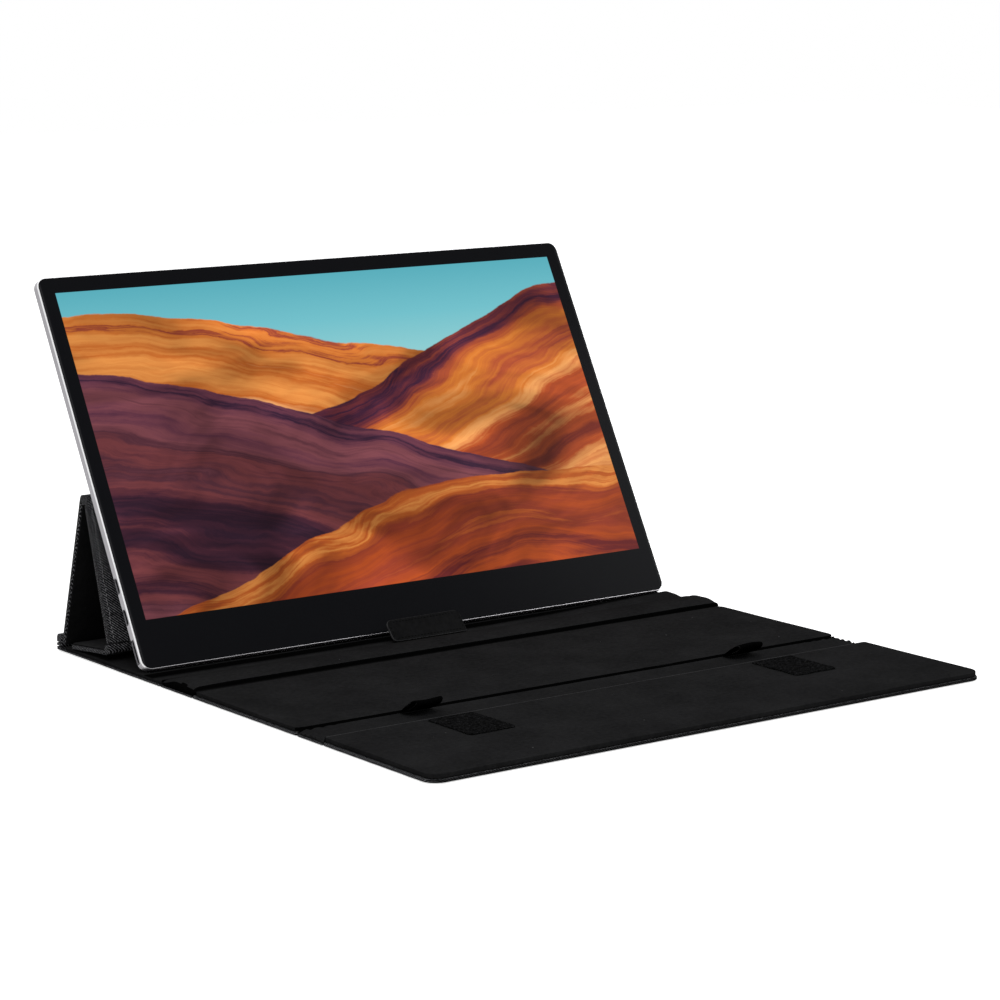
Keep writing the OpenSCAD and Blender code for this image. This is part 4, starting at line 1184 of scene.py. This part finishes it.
class FOLIO_OT_tab(bpy.types.Operator):
    """Springy stitched tab in front of the screen"""

    bl_idname = "folio.tab"
    bl_label = "Stitched tab"

    def execute(self, context):
        point = joint_point("tab_fold")
        angle = math.radians(48.5)
        width, length, thick = 50.5 * MM, 14 * MM, 1.5 * MM
        place = fold_matrix(point + Vector((0.8 * MM, 0, 0)), angle)
        obj = add_box("tab_leather", (-width / 2, 0, -thick / 2), (width / 2, length, thick / 2))
        for end, row, r in ((-1, 0, 3.2), (-1, 1, 3.8), (1, 0, 1.0), (1, 1, 3.2)):
            bevel_edges(obj, lambda a, b: abs(a.z - b.z) > 1e-4 and abs(a.x - end * width / 2)
                        < 1e-6 and abs(a.y - row * length) < 1e-6, r * MM, 6)
        bevel_edges(obj, level, 0.45 * MM, 3)
        cut(obj, 0, spread(-width / 2, width / 2, 20))
        cut(obj, 1, spread(0, length, 6))

        def move(p):
            p.z += 0.25 * MM * math.sin(p.x * 90) * (p.y / length)
            return p
        reshape(obj, move)
        put_in(obj, place)
        finish_piece(obj, "stitched_leather", "tab", ["stitched_tab"],
                     edge_material="tab_edge", flat=place.to_3x3() @ Vector((0, 0, 1)))
        inset = 1.7 * MM
        xs = (-width / 2 + inset, width / 2 - inset)
        ys = (inset, length - inset)

        def top(at, row):
            return thick / 2 - 0.20 * MM + 0.25 * MM * math.sin(at * 90) * row / length
        lines = []
        bays = 4
        for row, ends in ((ys[0], 1.2 * MM), (ys[1], 2.4 * MM)):
            run = [xs[0] + ends + (xs[1] - xs[0] - 2 * ends) * k / bays for k in range(bays + 1)]
            for a, b in zip(run, run[1:]):
                lines.append(((a, row, top(a, row)), (b, row, top(b, row))))
        for column in xs:
            ends = (ys[0] + 0.9 * MM, ys[1] - 2.2 * MM)
            lines.append([(column, row, top(column, row)) for row in ends])
        for i, (a, b) in enumerate(lines):
            stitch_line("tab_stitches_%d" % (i + 1), a, b, (0, 0, 1), "tab", "thread_dark",
                        place, 2.0 * MM, radius=0.32 * MM)
        return {"FINISHED"}


def leg_panel(part, node_part, body, matrix, span, corners, cloth_span=None,
              finish="grained_lining"):
    """Woven outside, lining and edge of one of the stand's panels, built flat and put in place."""
    cover = bpy.context.scene.folio_cover
    low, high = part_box(node_part + "_outer")
    thick = cover.leg_thickness
    skin = 0.8 * MM
    x = (low.x, high.x)
    up = matrix.to_3x3() @ Vector((0, 0, 1))
    cloth = slab(part + "_cloth", x, cloth_span or span, (-thick, -skin), corners, 0.55 * MM)
    put_in(cloth, matrix)
    finish_piece(cloth, "woven_cloth", body, [node_part + "_outer"],
                 edge_material="turned_edge", flat=up)
    step = 0.8 * MM
    lining = slab(part + "_skin", (x[0] + step, x[1] - step), span, (-skin, 0), corners,
                  0.35 * MM, cuts=(30, 8))
    put_in(lining, matrix)
    finish_piece(lining, finish, body, [node_part + "_lining"],
                 edge_material="lining_edge", flat=up)
    return x


def fold_roll(name, body, matrix, length, node_name):
    """Rolled core at the end of a leg, under the cloth that turns round it."""
    cover = bpy.context.scene.folio_cover
    r = cover.leg_thickness - 0.62 * MM
    x = (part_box("base_outer")[0].x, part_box("base_outer")[1].x)
    obj = add_box(name, (x[0], length - r, -r), (x[1], length + r, r))
    bevel_edges(obj, lambda a, b: abs(a.x - b.x) > 0.1 and a.y > length, r * 0.98, 8)
    bevel_edges(obj, lambda a, b: abs(a.x - b.x) > 0.1 and a.y < length and a.z > 0, r * 0.98, 8)
    put_in(obj, matrix)
    finish_piece(obj, "woven_cloth", body, [node_name])
    paint(obj, "turned_edge", lambda centre, normal: abs(normal.x) > 0.7)
    return obj


def turned_cloth(name, body, matrix, x, reach, sweep, bulge=0.0):
    """Cloth that runs on from a leg's outside and turns round the roll at its end."""
    thick = bpy.context.scene.folio_cover.leg_thickness
    wall = 0.5 * MM
    obj = add_box(name, (x[0], 0, -thick - 0.02 * MM), (x[1], reach, -thick + wall))
    select_faces(obj, lambda c, n: n.y < -0.9)
    bpy.ops.mesh.spin(steps=14, angle=sweep, center=(0, 0, 0), axis=(-1, 0, 0))
    leave_edit()

    def swell(p):
        # the fold stands a little proud over the top of the roll
        if p.y < 0:
            p *= 1 + bulge * min(1, -p.y / thick) / thick
        return p
    if bulge:
        reshape(obj, lambda p: Vector((p.x, *list(swell(Vector((0, p.y, p.z))))[1:])))
    cut(obj, 0, spread(x[0], x[1], 40))
    put_in(obj, matrix)
    finish_piece(obj, "woven_cloth", body)
    paint(obj, "turned_edge", lambda centre, normal: abs(normal.x) > 0.7)
    return obj


class FOLIO_OT_stand(bpy.types.Operator):
    """Triangular stand: back leg, front leg and foot flap"""

    bl_idname = "folio.stand"
    bl_label = "Folded stand"

    def execute(self, context):
        cover = context.scene.folio_cover
        back, front, flap = leg_matrices()
        r = cover.leg_thickness
        clear = r + 0.3 * MM
        back_len = (APEX - REAR).yz.length
        front_len = (FOOT - APEX).yz.length
        small = (1 * MM, 1 * MM)
        # the back leg's lining takes inner_shade, a darker copy of the leather: painted shade
        # inside the stand
        leg_panel("back_leg", "back_leg", "back_leg", back, (1 * MM, back_len - r), small,
                  (1 * MM, back_len + 0.4 * MM), "inner_shade")
        fold_roll("apex_roll", "back_leg", back, back_len, "apex_fold")
        x = leg_panel("front_leg", "front_leg", "front_leg", front, (clear, front_len - r), small)
        fold_roll("foot_roll", "front_leg", front, front_len, "foot_fold")
        # the flap's lining takes flap_lining, a lighter copy of the leather: painted light on its
        # lit top
        leg_panel("foot_flap", "foot_flap", "foot_flap", flap, (clear, 41.7 * MM),
                  (1 * MM, 3 * MM), finish="flap_lining")
        turned_cloth("apex_turn", "front_leg", front, x, clear + 1.2 * MM, math.radians(118),
                     4.0 * MM)
        turned_cloth("foot_turn", "foot_flap", flap, x, clear + 1.2 * MM, math.radians(82))
        # a folded hem runs down each side of the front leg, with a wavering seam beside it
        for side, label in ((-1, "left"), (1, "right")):
            edge = x[1] if side > 0 else x[0]
            inner = edge - side * 1.3 * MM
            strip = slab(label + "_hem", sorted((edge + side * 0.05 * MM, inner)),
                         (0.5 * MM, front_len - r - 0.3 * MM),
                         (-r - 0.16 * MM, -r + 0.6 * MM), (0, 0), 0.14 * MM)
            cut(strip, 1, spread(0, front_len - r, 60))
            reshape(strip, lambda p: p + Vector((
                side * 0.10 * MM * math.sin(p.y * 1900), 0,
                0.05 * MM * math.sin(p.y * 1450) if p.z < -r else 0)))
            put_in(strip, front)
            finish_piece(strip, "hem_cloth", "front_leg")
            stitch_line(label + "_leg_stitches",
                        (edge - side * 3.4 * MM, 1 * MM, -r - 0.06 * MM),
                        (edge - side * 3.4 * MM, front_len - r - 2 * MM, -r - 0.06 * MM),
                        (0, 0, -1), "front_leg", "thread_light", front, 2.5 * MM,
                        radius=0.24 * MM, sway=0.22 * MM)
        return {"FINISHED"}


class FOLIO_OT_stage(bpy.types.Operator):
    """Pale floor, soft lamps and the camera"""

    bl_idname = "folio.stage"
    bl_label = "Stage"

    def execute(self, context):
        view = context.scene.folio_camera
        context.scene.view_settings.view_transform = "Standard"
        clear_selection()
        bpy.ops.mesh.primitive_plane_add(size=9, location=(0, 0, -0.0006))
        floor = settle(bpy.context.object, "floor")
        material = bpy.data.materials.new("pale_floor")
        material.use_nodes = True
        tree = material.node_tree
        rays = tree.nodes.new("ShaderNodeLightPath")
        # with its own light the floor is plain white to the eye, and in gloss and glass
        mirrored = maths(tree, "MAXIMUM", rays.outputs["Is Glossy Ray"],
                         rays.outputs["Is Transmission Ray"])
        own_light = times_plus(tree, mirrored, 0.22,
                               times(tree, rays.outputs["Is Camera Ray"], 0.70))
        feed(tree, tree.nodes["Principled BSDF"], {
            "Base Color": (0.80, 0.80, 0.80, 1), "Roughness": 0.9, "Specular IOR Level": 0.0,
            "Emission Color": (1, 1, 1, 1), "Emission Strength": own_light})
        floor.data.materials.append(material)

        world = bpy.data.worlds.new("Studio")
        context.scene.world = world
        world.use_nodes = True
        tree = world.node_tree
        rays = tree.nodes.new("ShaderNodeLightPath")
        seen = maths(tree, "MAXIMUM", rays.outputs["Is Camera Ray"],
                     rays.outputs["Is Transmission Ray"])
        seen = maths(tree, "MAXIMUM", seen, rays.outputs["Is Glossy Ray"])
        feed(tree, tree.nodes["Background"], {
            "Color": (1, 1, 1, 1), "Strength": times_plus(tree, seen, 0.50, 0.50)})

        lamps = [("key_lamp", (-0.9, -1.1, 1.5), 1.1, 17),
                 ("fill_lamp", (1.64, -0.93, 0.98), 0.8, 9.6),
                 ("back_lamp", (0.2, 1.5, 1.5), 1.4, 10)]
        for name, place, size, power in lamps:
            light = bpy.data.lights.new(name, "AREA")
            light.energy = power
            light.size = size
            lamp = bpy.data.objects.new(name, light)
            context.scene.collection.objects.link(lamp)
            lamp.location = place
            aim = Vector((0, -0.05, 0.05)) - Vector(place)
            lamp.rotation_euler = aim.to_track_quat("-Z", "Y").to_euler()

        lens = bpy.data.cameras.new("camera")
        lens.lens = view.lens
        lens.sensor_width = 36
        lens.clip_start = 0.05
        lens.clip_end = 30
        camera = bpy.data.objects.new("camera", lens)
        context.scene.collection.objects.link(camera)
        a, b, c = view.yaw, view.pitch, view.roll
        ahead = Vector((math.sin(a) * math.cos(b), math.cos(a) * math.cos(b), -math.sin(b)))
        right = Vector((math.cos(a), -math.sin(a), 0))
        over = right.cross(ahead)
        side = right * math.cos(c) + over * math.sin(c)
        top = over * math.cos(c) - right * math.sin(c)
        turn = Matrix((side, top, -ahead)).transposed().to_4x4()
        camera.matrix_world = Matrix.Translation(Vector(view.place)) @ turn
        context.scene.camera = camera
        return {"FINISHED"}


STEPS = (FOLIO_OT_finishes, FOLIO_OT_base_panel, FOLIO_OT_spine, FOLIO_OT_inner_panel,
         FOLIO_OT_middle_spine, FOLIO_OT_front_panel, FOLIO_OT_creases, FOLIO_OT_tab,
         FOLIO_OT_stand, FOLIO_OT_stage)


class FOLIO_PT_steps(bpy.types.Panel):
    """Lists the steps that dress the monitor and its cover"""

    bl_idname = "FOLIO_PT_steps"
    bl_label = "Monitor Folio"
    bl_space_type = "VIEW_3D"
    bl_region_type = "UI"
    bl_category = "Monitor Folio"

    def draw(self, context):
        for step in STEPS:
            self.layout.operator(step.bl_idname)
        for group in ("folio_screen", "folio_cover", "folio_camera"):
            values = getattr(context.scene, group)
            box = self.layout.box()
            for name in values.__annotations__:
                box.prop(values, name)


CLASSES = (ScreenSizes, CoverSizes, CameraSizes, *STEPS, FOLIO_PT_steps)


def register():
    for cls in CLASSES:
        bpy.utils.register_class(cls)
    bpy.types.Scene.folio_screen = PointerProperty(type=ScreenSizes)
    bpy.types.Scene.folio_cover = PointerProperty(type=CoverSizes)
    bpy.types.Scene.folio_camera = PointerProperty(type=CameraSizes)


def unregister():
    for name in ("folio_camera", "folio_cover", "folio_screen"):
        delattr(bpy.types.Scene, name)
    for cls in reversed(CLASSES):
        bpy.utils.unregister_class(cls)


def main():
    register()
    for step in STEPS:
        group, name = step.bl_idname.split(".")
        getattr(getattr(bpy.ops, group), name)()


if __name__ == "__main__":
    main()
